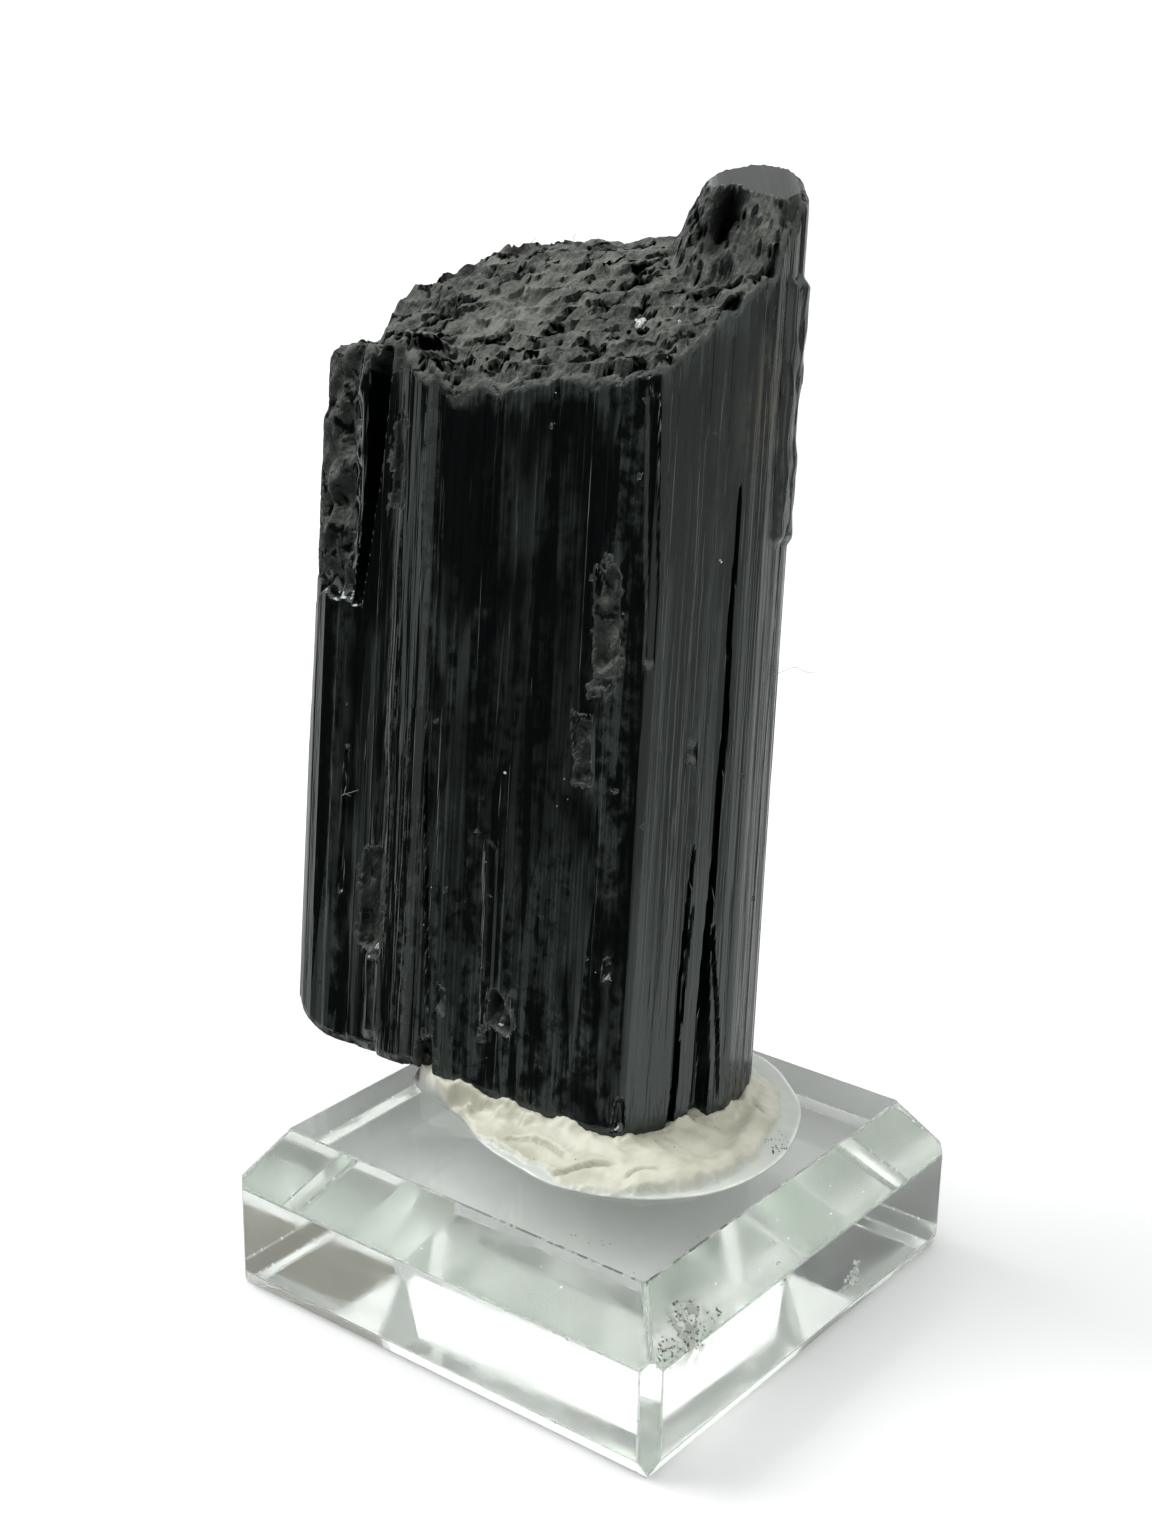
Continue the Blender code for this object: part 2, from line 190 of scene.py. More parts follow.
def dust_film():
    """Patches of settled dust or smears: a mask of clouds broken up by fine specks."""
    floats = [("Cloud Size", "NodeSocketFloat", 0.006), ("Speck Size", "NodeSocketFloat", 0.0004),
              ("Cover", "NodeSocketFloat", 0.4), ("Seed", "NodeSocketFloat", 0.0)]
    tree, source, result = group("dust_film", floats, [("Mask", "NodeSocketFloat")])
    place = place_on(tree)
    noises = []
    for size, detail, roughness in (("Cloud Size", 4.0, 0.6), ("Speck Size", 2.0, 0.7)):
        per_metre = math_node(tree, "DIVIDE", 1.0, source.outputs[size])
        made = node(tree, "ShaderNodeTexNoise", {"noise_dimensions": "4D"},
                    {"Vector": place, "W": source.outputs["Seed"], "Scale": per_metre,
                     "Detail": detail, "Roughness": roughness})
        noises.append(made.outputs["Fac"])
    clouds, specks = noises
    blend = math_node(tree, "ADD", times(tree, clouds, 0.7), times(tree, specks, 0.3))
    edge = less(tree, 1.0, source.outputs["Cover"])
    mask = math_node(tree, "MULTIPLY_ADD", less(tree, blend, edge), 6.0, 0.5, clamp=True)
    tree.links.new(mask, result.inputs["Mask"])
    return tree


def new_material(name, **sockets):
    """A material with a Principled shader, its sockets set by name."""
    material = bpy.data.materials.new(name)
    material.use_nodes = True
    shader = material.node_tree.nodes["Principled BSDF"]
    for key, value in sockets.items():
        shader.inputs[key.replace("_", " ")].default_value = value
    return material, material.node_tree, shader


dust = dust_film()


def clear_glass():
    material, tree, shader = new_material("clear_block", Transmission_Weight=1.0, IOR=1.5, Metallic=0.0,
                                          Sheen_Weight=0.12, Sheen_Roughness=0.6,
                                          Sheen_Tint=(0.93, 1.0, 0.96, 1.0))
    arris = stored_value(tree, "arris")
    place = place_on(tree)
    film = use_group(tree, dust, Cloud_Size=0.007, Speck_Size=0.002, Cover=0.47).outputs["Mask"]
    tint = mix_color(tree, times(tree, film, 0.5), GLASS_COLOR, FILM_COLOR)
    tint = mix_color(tree, times(tree, arris, 0.5), tint, ARRIS_COLOR)

    # Grime gathers along the top edges, towards the front corner
    streaky = cloudy(tree, place, 1100.0, 3.0)
    grime = times(tree, ramp(tree, height_of(tree, place), *GRIME_ABOVE),
                  ramp(tree, vector_node(tree, "DISTANCE", place, GRIME_CORNER), *GRIME_REACH, 1.0, 0.25))
    grime = times(tree, grime, ramp(tree, streaky, 0.38, 0.55))
    grime = times(tree, grime, arris)
    tint = mix_color(tree, grime, tint, GRIME_COLOR)

    # A dirty smear low on the right shoulder
    smear = times(tree, ramp(tree, vector_node(tree, "DISTANCE", place, SMEAR), *SMEAR_REACH, 1.0, 0.0),
                  ramp(tree, streaky, 0.40, 0.62, 0.15, 1.0))
    tint = mix_color(tree, smear, tint, SMEAR_COLOR)
    tree.links.new(tint, shader.inputs["Base Color"])

    # The film, the ground arrises, the smear and the underside are less polished
    facing = height_of(tree, node(tree, "ShaderNodeNewGeometry").outputs["True Normal"])
    rough = math_node(tree, "MAXIMUM", part_of(tree, film, FILM_ROUGHNESS, POLISHED),
                      ramp(tree, facing, -0.9, -0.8, UNDERSIDE_ROUGHNESS, 0.0))
    rough = part_of(tree, arris, ARRIS_ROUGHNESS, rough)
    rough = part_of(tree, smear, SMEAR_ROUGHNESS, rough)
    tree.links.new(rough, shader.inputs["Roughness"])
    ground = times(tree, cloudy(tree, place, 4000.0), arris)
    bump = node(tree, "ShaderNodeBump", None, {"Strength": 0.25, "Distance": 0.0002, "Height": ground})
    tree.links.new(bump.outputs["Normal"], shader.inputs["Normal"])
    depth = node(tree, "ShaderNodeVolumeAbsorption", None,
                 {"Color": GLASS_DEPTH_COLOR, "Density": GLASS_DEPTH_DENSITY})
    tree.links.new(depth.outputs["Volume"], tree.nodes["Material Output"].inputs["Volume"])
    return material


def slice_off(bm, point, normal):
    """Cut a convex solid by a plane, drop what lies beyond it and close the cut."""
    geometry = bm.verts[:] + bm.edges[:] + bm.faces[:]
    cut = bmesh.ops.bisect_plane(bm, geom=geometry, plane_co=point, plane_no=normal, clear_outer=True)
    edges = [item for item in cut["geom_cut"] if isinstance(item, bmesh.types.BMEdge)]
    bmesh.ops.edgeloop_fill(bm, edges=edges)


def block_shape():
    bm = bmesh.new()
    half = BLOCK_SIDE / 2
    bmesh.ops.create_cube(bm, size=1.0)
    bmesh.ops.scale(bm, vec=(BLOCK_SIDE, BLOCK_SIDE, BLOCK_HEIGHT), verts=bm.verts)
    bmesh.ops.translate(bm, vec=(0, 0, BLOCK_HEIGHT / 2), verts=bm.verts)
    shoulder_z = BLOCK_HEIGHT - SHOULDER_DOWN
    quarters = [Matrix.Rotation(quarter * math.pi / 2, 3, "Z") for quarter in range(4)]
    for turn in quarters:
        shoulder = Vector((SHOULDER_DOWN, 0, SHOULDER_IN))
        slice_off(bm, turn @ Vector((half, 0, shoulder_z)), turn @ shoulder)
        slice_off(bm, turn @ Vector((half, 0, FOOT_UP)), turn @ Vector((FOOT_UP, 0, -FOOT_IN)))
    for turn in quarters:
        mitre = Vector((SHOULDER_DOWN, SHOULDER_DOWN, 2 * SHOULDER_IN)).normalized()
        corner = Vector((half, half, shoulder_z))
        slice_off(bm, turn @ (corner - mitre * MITRE_FACET), turn @ mitre)
        slice_off(bm, turn @ Vector((half - CORNER_FACET, half, 0)), turn @ Vector((1, 1, 0)))
    return bm


def in_scene(name, data):
    made = bpy.data.objects.new(name, data)
    bpy.context.scene.collection.objects.link(made)
    return made


def as_object(name, bm, material=None):
    """Turn a bmesh in millimetres into an object in metres."""
    bmesh.ops.scale(bm, vec=(MM, MM, MM), verts=bm.verts)
    mesh = bpy.data.meshes.new(name)
    bm.to_mesh(mesh)
    bm.free()
    if material:
        mesh.materials.append(material)
    return in_scene(name, mesh)


def settled(piece):
    """The piece as a plain mesh, with what its modifiers do made part of it."""
    bpy.context.view_layer.update()
    shown = piece.evaluated_get(bpy.context.evaluated_depsgraph_get())
    mesh = bpy.data.meshes.new_from_object(shown)
    piece.modifiers.clear()
    old = piece.data
    piece.data = mesh
    bpy.data.meshes.remove(old)
    mesh.name = piece.name
    return piece


def geometry_tree(name, sockets):
    """An empty Geometry Nodes tree that takes and gives geometry, with named inputs."""
    tree = bpy.data.node_groups.new(name, "GeometryNodeTree")
    tree.interface.new_socket("Geometry", in_out="INPUT", socket_type="NodeSocketGeometry")
    for socket, kind in sockets:
        tree.interface.new_socket(socket, in_out="INPUT", socket_type=kind)
    tree.interface.new_socket("Geometry", in_out="OUTPUT", socket_type="NodeSocketGeometry")
    return tree, tree.nodes.new("NodeGroupInput"), tree.nodes.new("NodeGroupOutput")


def apply_tree(piece, tree, **values):
    """Run a Geometry Nodes tree on a piece with the named inputs, and keep the result."""
    modifier = piece.modifiers.new(tree.name, "NODES")
    modifier.node_group = tree
    for item in tree.interface.items_tree:
        if item.in_out == "INPUT" and item.name.replace(" ", "_") in values:
            modifier[item.identifier] = values[item.name.replace(" ", "_")]
    return settled(piece)


def finish_tree(tree, source, result, geometry):
    """End a tree: its geometry made real, in the material it is given."""
    real = node(tree, "GeometryNodeRealizeInstances", None, {"Geometry": geometry})
    coated = node(tree, "GeometryNodeSetMaterial", None,
                  {"Geometry": real.outputs["Geometry"], "Material": source.outputs["Material"]})
    tree.links.new(coated.outputs["Geometry"], result.inputs["Geometry"])
    return tree


def draw_vector(tree, source, low, high):
    """A random vector for each thing."""
    return node(tree, "FunctionNodeRandomValue", {"data_type": "FLOAT_VECTOR"},
                {0: low, 1: high, "Seed": source.outputs["Seed"]}).outputs[0]


def draw_lots(tree, source, chance):
    """True at random, as often as the chance says."""
    return node(tree, "FunctionNodeRandomValue", {"data_type": "BOOLEAN"},
                {"Probability": chance, "Seed": source.outputs["Seed"]}).outputs[3]


def small_stones(tree, source, points, chosen, lumpy):
    """Small rough stones at the chosen points, turned and sized at random."""
    stone = node(tree, "GeometryNodeMeshIcoSphere", None, {"Radius": 1.0, "Subdivisions": 2})
    lumps_per_radius, lump_height = lumpy
    lump = node(tree, "ShaderNodeTexNoise", None, {"Scale": lumps_per_radius}).outputs["Fac"]
    knock = vector_node(tree, "SCALE", node(tree, "GeometryNodeInputNormal").outputs[0],
                        Scale=times(tree, less(tree, lump, 0.5), lump_height))
    stone = node(tree, "GeometryNodeSetPosition", None,
                 {"Geometry": stone.outputs["Mesh"], "Offset": knock})
    size = draw_vector(tree, source, source.outputs["Smallest"], source.outputs["Largest"])
    turn = draw_vector(tree, source, (0.0,) * 3, (FULL_TURN,) * 3)
    return node(tree, "GeometryNodeInstanceOnPoints", None,
                {"Points": points, "Selection": chosen, "Instance": stone.outputs["Geometry"],
                 "Rotation": turn, "Scale": size}).outputs["Instances"]


def nick_tree():
    """Small rough stones strung along every edge at random: the shape of what was chipped away."""
    tree, source, result = geometry_tree("nicks", [
        ("Spacing", "NodeSocketFloat"), ("Smallest", "NodeSocketFloat"), ("Largest", "NodeSocketFloat"),
        ("Share", "NodeSocketFloat"), ("Seed", "NodeSocketInt"), ("Material", "NodeSocketMaterial")])
    edges = node(tree, "GeometryNodeMeshToCurve", None, {"Mesh": source.outputs["Geometry"]})
    split = node(tree, "GeometryNodeCurveToPoints", {"mode": "LENGTH"},
                 {"Curve": edges.outputs["Curve"], "Length": source.outputs["Spacing"]})
    chosen = draw_lots(tree, source, source.outputs["Share"])
    shift = draw_vector(tree, source, (-NICK_SHIFT * MM,) * 3, (NICK_SHIFT * MM,) * 3)
    along = vector_node(tree, "PROJECT", shift, split.outputs["Tangent"])
    moved = node(tree, "GeometryNodeSetPosition", None,
                 {"Geometry": split.outputs["Points"], "Offset": along})
    stones = small_stones(tree, source, moved.outputs["Geometry"], chosen, LUMPY_NICK)
    return finish_tree(tree, source, result, stones)


glass = clear_glass()
ground_mark = bpy.data.materials.new("ground_mark")

nicks = as_object("nicks", block_shape())
apply_tree(nicks, nick_tree(), Spacing=NICK_SPACING * MM, Smallest=NICK_SIZE[0] * MM,
           Largest=NICK_SIZE[1] * MM, Share=NICK_SHARE, Seed=BLOCK_SEED, Material=ground_mark)

block_bm = block_shape()
ground = bmesh.ops.bevel(block_bm, geom=block_bm.edges[:], offset=ARRIS, offset_type="OFFSET",
                         segments=2, profile=0.6, affect="EDGES", clamp_overlap=True)
for face in ground["faces"]:
    face.material_index = 1
block = as_object("glass_block", block_bm, glass)
block.data.materials.append(ground_mark)
chip = block.modifiers.new("chip", "BOOLEAN")
chip.object = nicks
chip.operation = "DIFFERENCE"
chip.solver = "EXACT"
chip.use_self = True
chip.material_mode = "TRANSFER"
settled(block)
bpy.data.objects.remove(nicks)

arris = block.data.attributes.new("arris", "FLOAT", "FACE")
arris.data.foreach_set("value", [float(face.material_index) for face in block.data.polygons])
for face in block.data.polygons:
    face.material_index = 0
while len(block.data.materials) > 1:
    block.data.materials.pop()
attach(block, "root")
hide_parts("display_base")


# ---------------------------------------------------------------- crystal
# One crystal of black tourmaline: a striated three-sided prism with rounded sides, broken off at
# both ends, with a slim spire grown with it. Its faces are glossy and its broken parts rough.

RIDGE_FOOT = Vector((-4.1, -5.0, 14.3))     # where its front ridge meets its foot
TURN = math.radians(-52.35)
LEAN_BACK = math.radians(12.0)
LEAN_SIDE = math.radians(2.25)
STANCE = Matrix.LocRotScale(RIDGE_FOOT, Euler((-LEAN_BACK, LEAN_SIDE, TURN)), None)

# Corners of its cross-section (across, deep, rounding radius), anticlockwise
CORNERS = (
    (0.0, 0.0, 0.9), (7.9, 4.56, 2.2), (9.9, 8.0, 2.4), (9.7, 12.9, 3.0), (3.8, 17.8, 4.5),
    (-7.0, 21.0, 8.0), (-18.3, 21.4, 3.0), (-23.1, 18.0, 2.0), (-25.7, 14.83, 2.0),
)
ARC_POINTS = 5
OUTWARD_REACH = 0.9

# The broken top: a climb to a plateau, a lower ledge at the left, a lip, and the spire
TOP_AT_RIDGE = 53.7
TOP_SLOPE = (0.52, 0.72)
PLATEAU = 63.4
PLATEAU_BLEND = 2.5
LEDGE_TOP = 54.8
LEDGE_RIGHT = -20.6
LEDGE_BLEND = 1.4
LEDGE_WORN = (-22.4, 2.6, 1.9)  # its corner is worn off left of this, over this width, by this much
LIP = (-18.9, 11.0)
LIP_HEIGHT = 3.4
LIP_RADIUS = 5.0
LUMPS = ((0.4, 0.51), (0.9, 0.38))
TERRACES = ((1.1, 0.9, 0.3),)   # height of a step, how far it strays, per mm
TERRACE_STEEPNESS = 0.85
SPIRE = ((2.1, 8.6), (4.0, 7.2), (8.0, 5.4), (11.2, 8.2), (11.0, 13.0), (7.0, 15.6), (1.6, 12.8))
SPIRE_TOP = 66.6
SPIRE_FRONT = 7.8
SPIRE_SLOPE = 0.42
SPIRE_MIDDLE = 6.8
SPIRE_ROUNDING = (1.2, 4.4)     # how far its facet falls away, and how far from its middle
SPIRE_STEEPNESS = 2.2
SPIRE_FOOT = 2.4
SPIRE_FADES = (0.5, 0.4, 0.6)   # over which the spire, its facet and its grown side begin
SCOOP = (4.1, 8.4)              # hollow at the left of the spire's facet
SCOOP_RADIUS = 1.7
SCOOP_DEPTH = 2.9
SCOOP_SHADE = 1.2               # radii within which it gets painted shade, black
SCOOP_FROM = (61.2, 1.2)        # and the height above which it is, with its fade
SCRAPED = (-11.1, 13.3)         # smoother, dustier patch of the top
SCRAPED_REACH = (4.6, 3.0)
SCRAPED_RAGGED = (0.5, 0.45)    # how far its edge strays, and per mm
SCRAPED_FADE = 0.6
BREAK_FACING = (-0.39, -0.54, 0.75)             # way the broken top faces
GROWN_FROM = (4.0, 0.45)        # its side is unbroken further right than this, and than this per mm up

# The broken foot
FOOT_LEVEL = 13.6
FOOT_RISE = 0.09
FOOT_FLAT = 4.0
FOOT_LUMPS = (0.4, 0.32)
WORN_FROM = -22.3
WORN_RADIUS = 2.75

# Growth steps on its side, and marks: girths at their low and high end, heights of the ends, widths
# there, depth (less than 0 stands out) and roughness
STEP_SEED = 7
STEP_WIDTH = (0.4, 2.6)
STEP_BIAS = 3
STEP_DEPTH = 0.2
STEP_FULL = 1.2                 # narrower strips stand out less
MARKS = (
    (-26.6, -26.6, 36.0, 70.0, 4.4, 4.4, 0.7, 0.6),      # rough ledge down the upper left
    (-28.4, -28.4, 49.5, 70.0, 3.4, 3.4, 0.3, 0.0),      # its outer corner, broken back
    (-23.9, -23.0, 36.0, 45.5, 0.8, 1.1, 1.4, 0.0),      # slot beside the ledge, lower part
    (-23.2, -22.5, 43.0, 54.0, 1.1, 1.5, 2.6, 0.0),      # and its deep upper part
    (-24.4, -24.2, 14.0, 25.0, 0.35, 0.45, 0.4, 0.0),    # it runs on as a fine crack
    (-19.2, -19.2, -9.0, 70.0, 2.8, 2.6, -0.45, 0.0),    # raised strip beside the slot
    (-20.7, -20.6, 43.0, 49.5, 0.9, 0.7, 0.3, 0.5),      # chipped along its edge
    (-21.5, -21.5, 10.5, 17.5, 1.6, 1.5, 0.5, 0.5),      # chipped pocket
    (-21.0, -21.0, 3.4, 9.8, 1.6, 1.4, -0.3, 0.0),       # low strip under the pocket
    (-16.2, -17.3, 6.5, 28.0, 0.22, 0.3, 0.3, 0.0),      # groove down the left of the front
    (-11.0, -11.4, 5.6, 19.4, 0.8, 1.1, -0.16, 0.0),     # raised strip on the front
    (-2.7, -3.0, 33.2, 39.7, 1.7, 1.9, 0.6, 0.4),        # hollow left of the ridge
    (-4.1, -4.5, 24.8, 29.4, 0.9, 1.3, 0.45, 0.5),       # smaller hollow below it
    (0.6, -0.2, 33.8, 52.0, 0.9, 0.8, 0.22, 0.0),        # groove on the ridge
    (-9.9, -9.9, 5.9, 8.4, 1.7, 1.4, 0.75, 1.0),         # pitted crater low on the front
    (-16.0, -16.2, -9.0, 3.8, 1.5, 1.2, 0.8, 0.6),       # notch in the lower edge
    (-15.0, -15.0, 6.5, 8.0, 0.8, 0.8, 0.4, 0.4),        # pits
    (-1.2, -1.2, 10.7, 12.1, 0.7, 0.6, 0.35, 0.4),
    (0.2, 0.3, 0.4, 2.4, 0.9, 0.6, 0.4, 0.4),
    (4.5, 4.5, 26.9, 28.1, 0.9, 0.7, 0.3, 0.4),
    (6.9, 6.95, -9.0, 14.0, 2.0, 0.5, 1.3, 0.0),         # open crack low on the right
    (6.9, 7.3, 13.0, 46.0, 0.5, 0.2, 0.9, 0.0),          # and its long narrow upper part
    (4.35, 5.1, -9.0, 20.6, 0.5, 0.25, 0.7, 0.0),        # second crack beside it
    (4.95, 5.45, 7.7, 15.9, 0.25, 0.2, 0.3, 0.0),        # fine one between them
    (8.5, 7.4, 2.0, 14.4, 0.3, 0.2, 0.4, 0.0),           # fine one to their right
    (12.4, 12.4, 42.0, 60.5, 2.6, 2.6, -0.4, 0.3),       # sliver along the right edge
)
MARK_FADE = 0.8
MARK_EDGE = 0.25
MARK_LUMPS = (0.9, 0.5)
MARK_NARROWEST = 0.01
MARK_WANDER = (0.28, 0.9)       # how far their sides and ends stray
SIDEWAYS = (0.4, 0.12, 21.0)    # noise they stray by: per mm round the side and up it, and its seed
LENGTHWAYS = (0.8, 0.15, 23.0)

# Where its side is broken open, besides the rims: girths, heights, raggedness and strength
BROKEN_PARTS = (
    (-29.4, -24.9, 37.5, 70.0, 0.6, 1.0),       # the ledge
    (-24.0, -20.4, 52.8, 70.0, 0.8, 1.0),       # the bridge between it and the body
    (-21.3, -20.0, 43.0, 49.5, 0.6, 0.8),       # chips along the raised strip
    (-22.6, -20.2, 10.5, 17.6, 0.8, 0.8),       # the chipped pocket
    (-3.8, -1.7, 31.2, 39.9, 0.7, 0.9),         # hollow left of the ridge, and a ragged ledge under it
    (-4.9, -3.5, 24.6, 29.6, 0.6, 0.8),         # smaller hollow
    (-10.9, -8.9, 5.6, 8.7, 1.0, 0.5),          # crater
    (-17.0, -15.2, -9.0, 3.8, 0.7, 1.0),        # notch
)
# Where it is scuffed grey: girths, heights, raggedness and strength
SCUFFED_PARTS = (
    (-3.0, -0.4, 16.0, 52.0, 1.1, 0.75),        # strip beside the ridge
    (-3.6, -0.2, 24.0, 33.0, 1.2, 0.9),
    (-1.6, 1.2, 2.0, 16.0, 1.3, 0.45),
    (-17.5, -3.5, 34.0, 54.0, 2.5, 0.04),       # front
    (-17.5, -3.5, 15.0, 36.0, 2.5, 0.25),
    (-17.0, -12.5, 29.0, 36.0, 2.0, 0.5),       # patches on it
    (-12.0, -6.0, 40.0, 47.0, 2.5, 0.35),
    (-21.0, -2.0, -9.0, 9.0, 5.0, 0.76),        # its lower part
    (-21.0, -2.0, -9.0, 21.0, 5.0, 0.50),
    (-20.8, -17.3, 8.0, 54.0, 0.6, 1.15),       # raised strip at the left
    (-20.8, -17.3, -9.0, 9.0, 0.6, 0.5),
    (-23.4, -21.6, -9.0, 34.0, 0.6, 0.40),
    (-29.5, -27.6, -9.0, 36.0, 0.5, 0.60),      # left edge
    (-27.6, -23.6, -9.0, 14.0, 1.5, 0.65),
    (-27.4, -24.4, 13.0, 36.0, 1.2, 0.42),
    (1.2, 2.6, -9.0, 40.0, 0.5, 0.28),          # right face, in bands
    (2.8, 4.4, -9.0, 50.0, 0.5, 0.05),
    (4.4, 6.4, -9.0, 38.0, 0.5, 0.30),
    (4.8, 5.8, 36.0, 56.0, 0.5, 0.22),
    (-46.0, -32.0, -9.0, 50.0, 1.5, 0.25),      # back
    (18.0, 46.0, -9.0, 56.0, 1.5, 0.25),
    (7.6, 9.4, -9.0, 54.0, 0.6, 0.35),
    (9.4, 16.0, -9.0, 60.0, 0.8, 0.60),
    (6.6, 12.0, 44.0, 57.0, 1.6, 0.42),
)
# Where it is finely striated: girths and strength
STRIATED_PARTS = (
    (-48.0, -31.0, 0.8), (-31.0, -27.4, 1.0), (-23.6, -21.6, 0.6), (-21.0, -16.6, 1.0),
    (-16.6, -2.0, 0.32), (1.0, 6.4, 0.7), (7.4, 9.8, 0.7), (9.8, 20.0, 1.0), (20.0, 48.0, 0.8),
)
STRIATED_LEAST = 0.18
STRIATED_EDGE = 0.8
BROWNER = ((9.0, 51.5, 3.4, 6.5), (10.6, 2.6, 2.0, 3.6))    # girth, height and their reach

# How ragged the broken and scuffed parts' edges are: waves, each with its strength, how many per mm
# round the side and up it, and its seed
BROKEN_RAGGED = ((1.0, 0.9, 0.7, 2.0), (0.6, 2.6, 2.2, 7.0))
SCUFFED_RAGGED = ((1.0, 0.8, 0.25, 12.0), (0.5, 2.4, 1.4, 15.0))
SLOW_DRIFT = ((1.0, 0.22, 0.1, 4.0),)
BROKEN_EDGE = 0.3
SCUFFED_EDGE = 1.0
TOP_SCUFF = 0.6                 # strength of the scuffs just under the broken top
TOP_SCUFF_REACH = (1.8, 2.6, 1.6)               # its depth, how far that strays, and its fade
FRONT = (-31.0, 15.0)           # girths between which the columns are finer
COLUMN_FINE = 0.095
COLUMN_COARSE = 0.15
ROW_COUNT = 40
ROUGH_LEVEL = 3                 # how often a row is halved where the side is rough
ROUGH_FROM = 0.02
MARK_END_CHANGE = 0.06          # a row is halved where a mark changes this much along it
RIM_DEPTH = 0.9
RIM_ROUNDING = 0.45
RIM_REACH = ((-44.0, 0.8), (-31.0, 0.8), (-20.5, 0.8), (-17.0, 1.0), (-8.0, 1.2), (-1.0, 0.9),
             (2.0, 0.5), (4.0, 0.25), (15.0, 0.25), (19.0, 0.8), (44.0, 0.8))
RIM_STRAY = (0.8, 1.0, 0.4)     # share of that reach, and how much drift and raggedness change it
RIM_LEAST = 0.12
RIM_FADE = 0.9
FOOT_RIM = (0.3, 0.5, 0.3)      # the same at the foot
FOOT_RIM_LEAST = 0.1
FOOT_RIM_FADE = 0.3
TOP_SPACING = 0.2
FOOT_SPACING = 0.42
FILL_MARGIN = 0.55
FACET_SCUFF = 0.1
SIDE_CALM = 0.7                 # how much less the break stands out on the side than on top
TINY = 1e-6
CRYSTAL_SEED = 11

# Its relief. The striae are strips at two sizes: share of the width, of the length and of the depth
STRIA_DEPTH = 0.075
STRIA_WIDTH = 0.9
STRIA_LENGTH = 40.0
STRIA_SIZES = ((1.0, 1.0, 1.0), (0.42, 0.5, 0.5))
STRIA_TILT = 2.0
STRIA_SHIFT = 7.3               # between the two, so that they don't line up
BREAK_DEPTH = 0.36
BREAK_SIZE = 1.5
BREAK_BENT = (0.9, 1.1)         # waves that bend its chunks: per mm, and how far
BREAK_DRAWN = (0.36, 1.2, 0.8)  # they are longest across the crystal
CHUNK_ROUNDNESS = 0.22
CHUNK_TILT = 1.6
CHUNK_HEIGHT = (0.15, 0.35)     # on the side, and how much more on top
BREAK_GRAIN = (1.3, 2.2)        # per chunk, and height
POCKETS = ((1.0, 0.56, 0.61), (2.2, 0.585, 0.63))   # per chunk, and the tones between which they start
POCKET_SHIFT = 7.0
POCKET_DEPTH = 1.3
ON_TOP = (0.1, 0.5)             # how far up a part faces that counts as the top
SCRAPED_CALM = 0.6

# Its finish
STONE_IOR = 1.64
STONE_TINT = (0.90, 1.0, 0.96, 1.0)             # of what it mirrors
FACE_BLACK = (0.0005, 0.0010, 0.0013, 1.0)
HAZE_GREY = (0.0195, 0.0245, 0.0220, 1.0)
HAZE_BROWN = (0.040, 0.031, 0.019, 1.0)
PIT_BLACK = (0.0008, 0.0010, 0.0010, 1.0)
# Colours of the break: black for the painted shade in its pockets and hollow, grey for its lit crests
POCKET_SHADE_BLACK = (0.0012, 0.0016, 0.0016, 1.0)
LIT_CREST_GREY = (0.168, 0.173, 0.150, 1.0)
SHADE_BLACK = (0.001, 0.001, 0.001, 1.0)
HAZE_TONES = (0.44, 0.76, 0.05, 1.6)            # between which tones, and from how much to how much
LINE_TONES = (0.43, 0.57, 0.05, 2.0)
PIT_SPACING = 2.4
PIT_EDGE = (0.03, 0.11)
PIT_CHOSEN = (0.72, 0.76)
FACE_ROUGHNESS = 0.08
HAZE_ROUGHNESS = 0.2            # what is added to it
FINE_ROUGHNESS = 0.08
PIT_ROUGHNESS = 0.5
RIM_ROUGHNESS = 0.45
BREAK_ROUGHNESS = (0.3, 0.75)
BREAK_GLOSS = 0.22


def filleted(corners):
    """The closed line through corners (x, y, radius), with each corner an arc."""
    line = []
    for index, (x, y, radius) in enumerate(corners):
        here = Vector((x, y))
        before = (Vector(corners[index - 1][:2]) - here).normalized()
        after = (Vector(corners[(index + 1) % len(corners)][:2]) - here).normalized()
        half_angle = before.angle(after) / 2
        middle = (before + after).normalized()
        centre = here + middle * radius / math.sin(half_angle)
        start = (here + before * radius / math.tan(half_angle) - centre).normalized()
        end = (here + after * radius / math.tan(half_angle) - centre).normalized()
        for step in range(ARC_POINTS):
            line.append(centre + radius * start.slerp(end, step / (ARC_POINTS - 1)))
    return np.array([point[:] for point in line])


section = filleted(CORNERS)
section = np.vstack([section, section[:1]])
section_girths = np.concatenate([[0.0], np.cumsum(np.linalg.norm(np.diff(section, axis=0), axis=1))])
GIRTH = section_girths[-1]


def section_point(girth):
    girth = np.mod(girth, GIRTH)
    return np.stack([np.interp(girth, section_girths, section[:, axis]) for axis in (0, 1)], -1)


def section_outward(girth):
    along = section_point(girth + OUTWARD_REACH) - section_point(girth - OUTWARD_REACH)
    outward = np.stack([along[..., 1], -along[..., 0]], -1)
    return outward / np.linalg.norm(outward, axis=-1, keepdims=True)


def smooth(value):
    value = np.clip(value, 0.0, 1.0)
    return value * value * (3 - 2 * value)


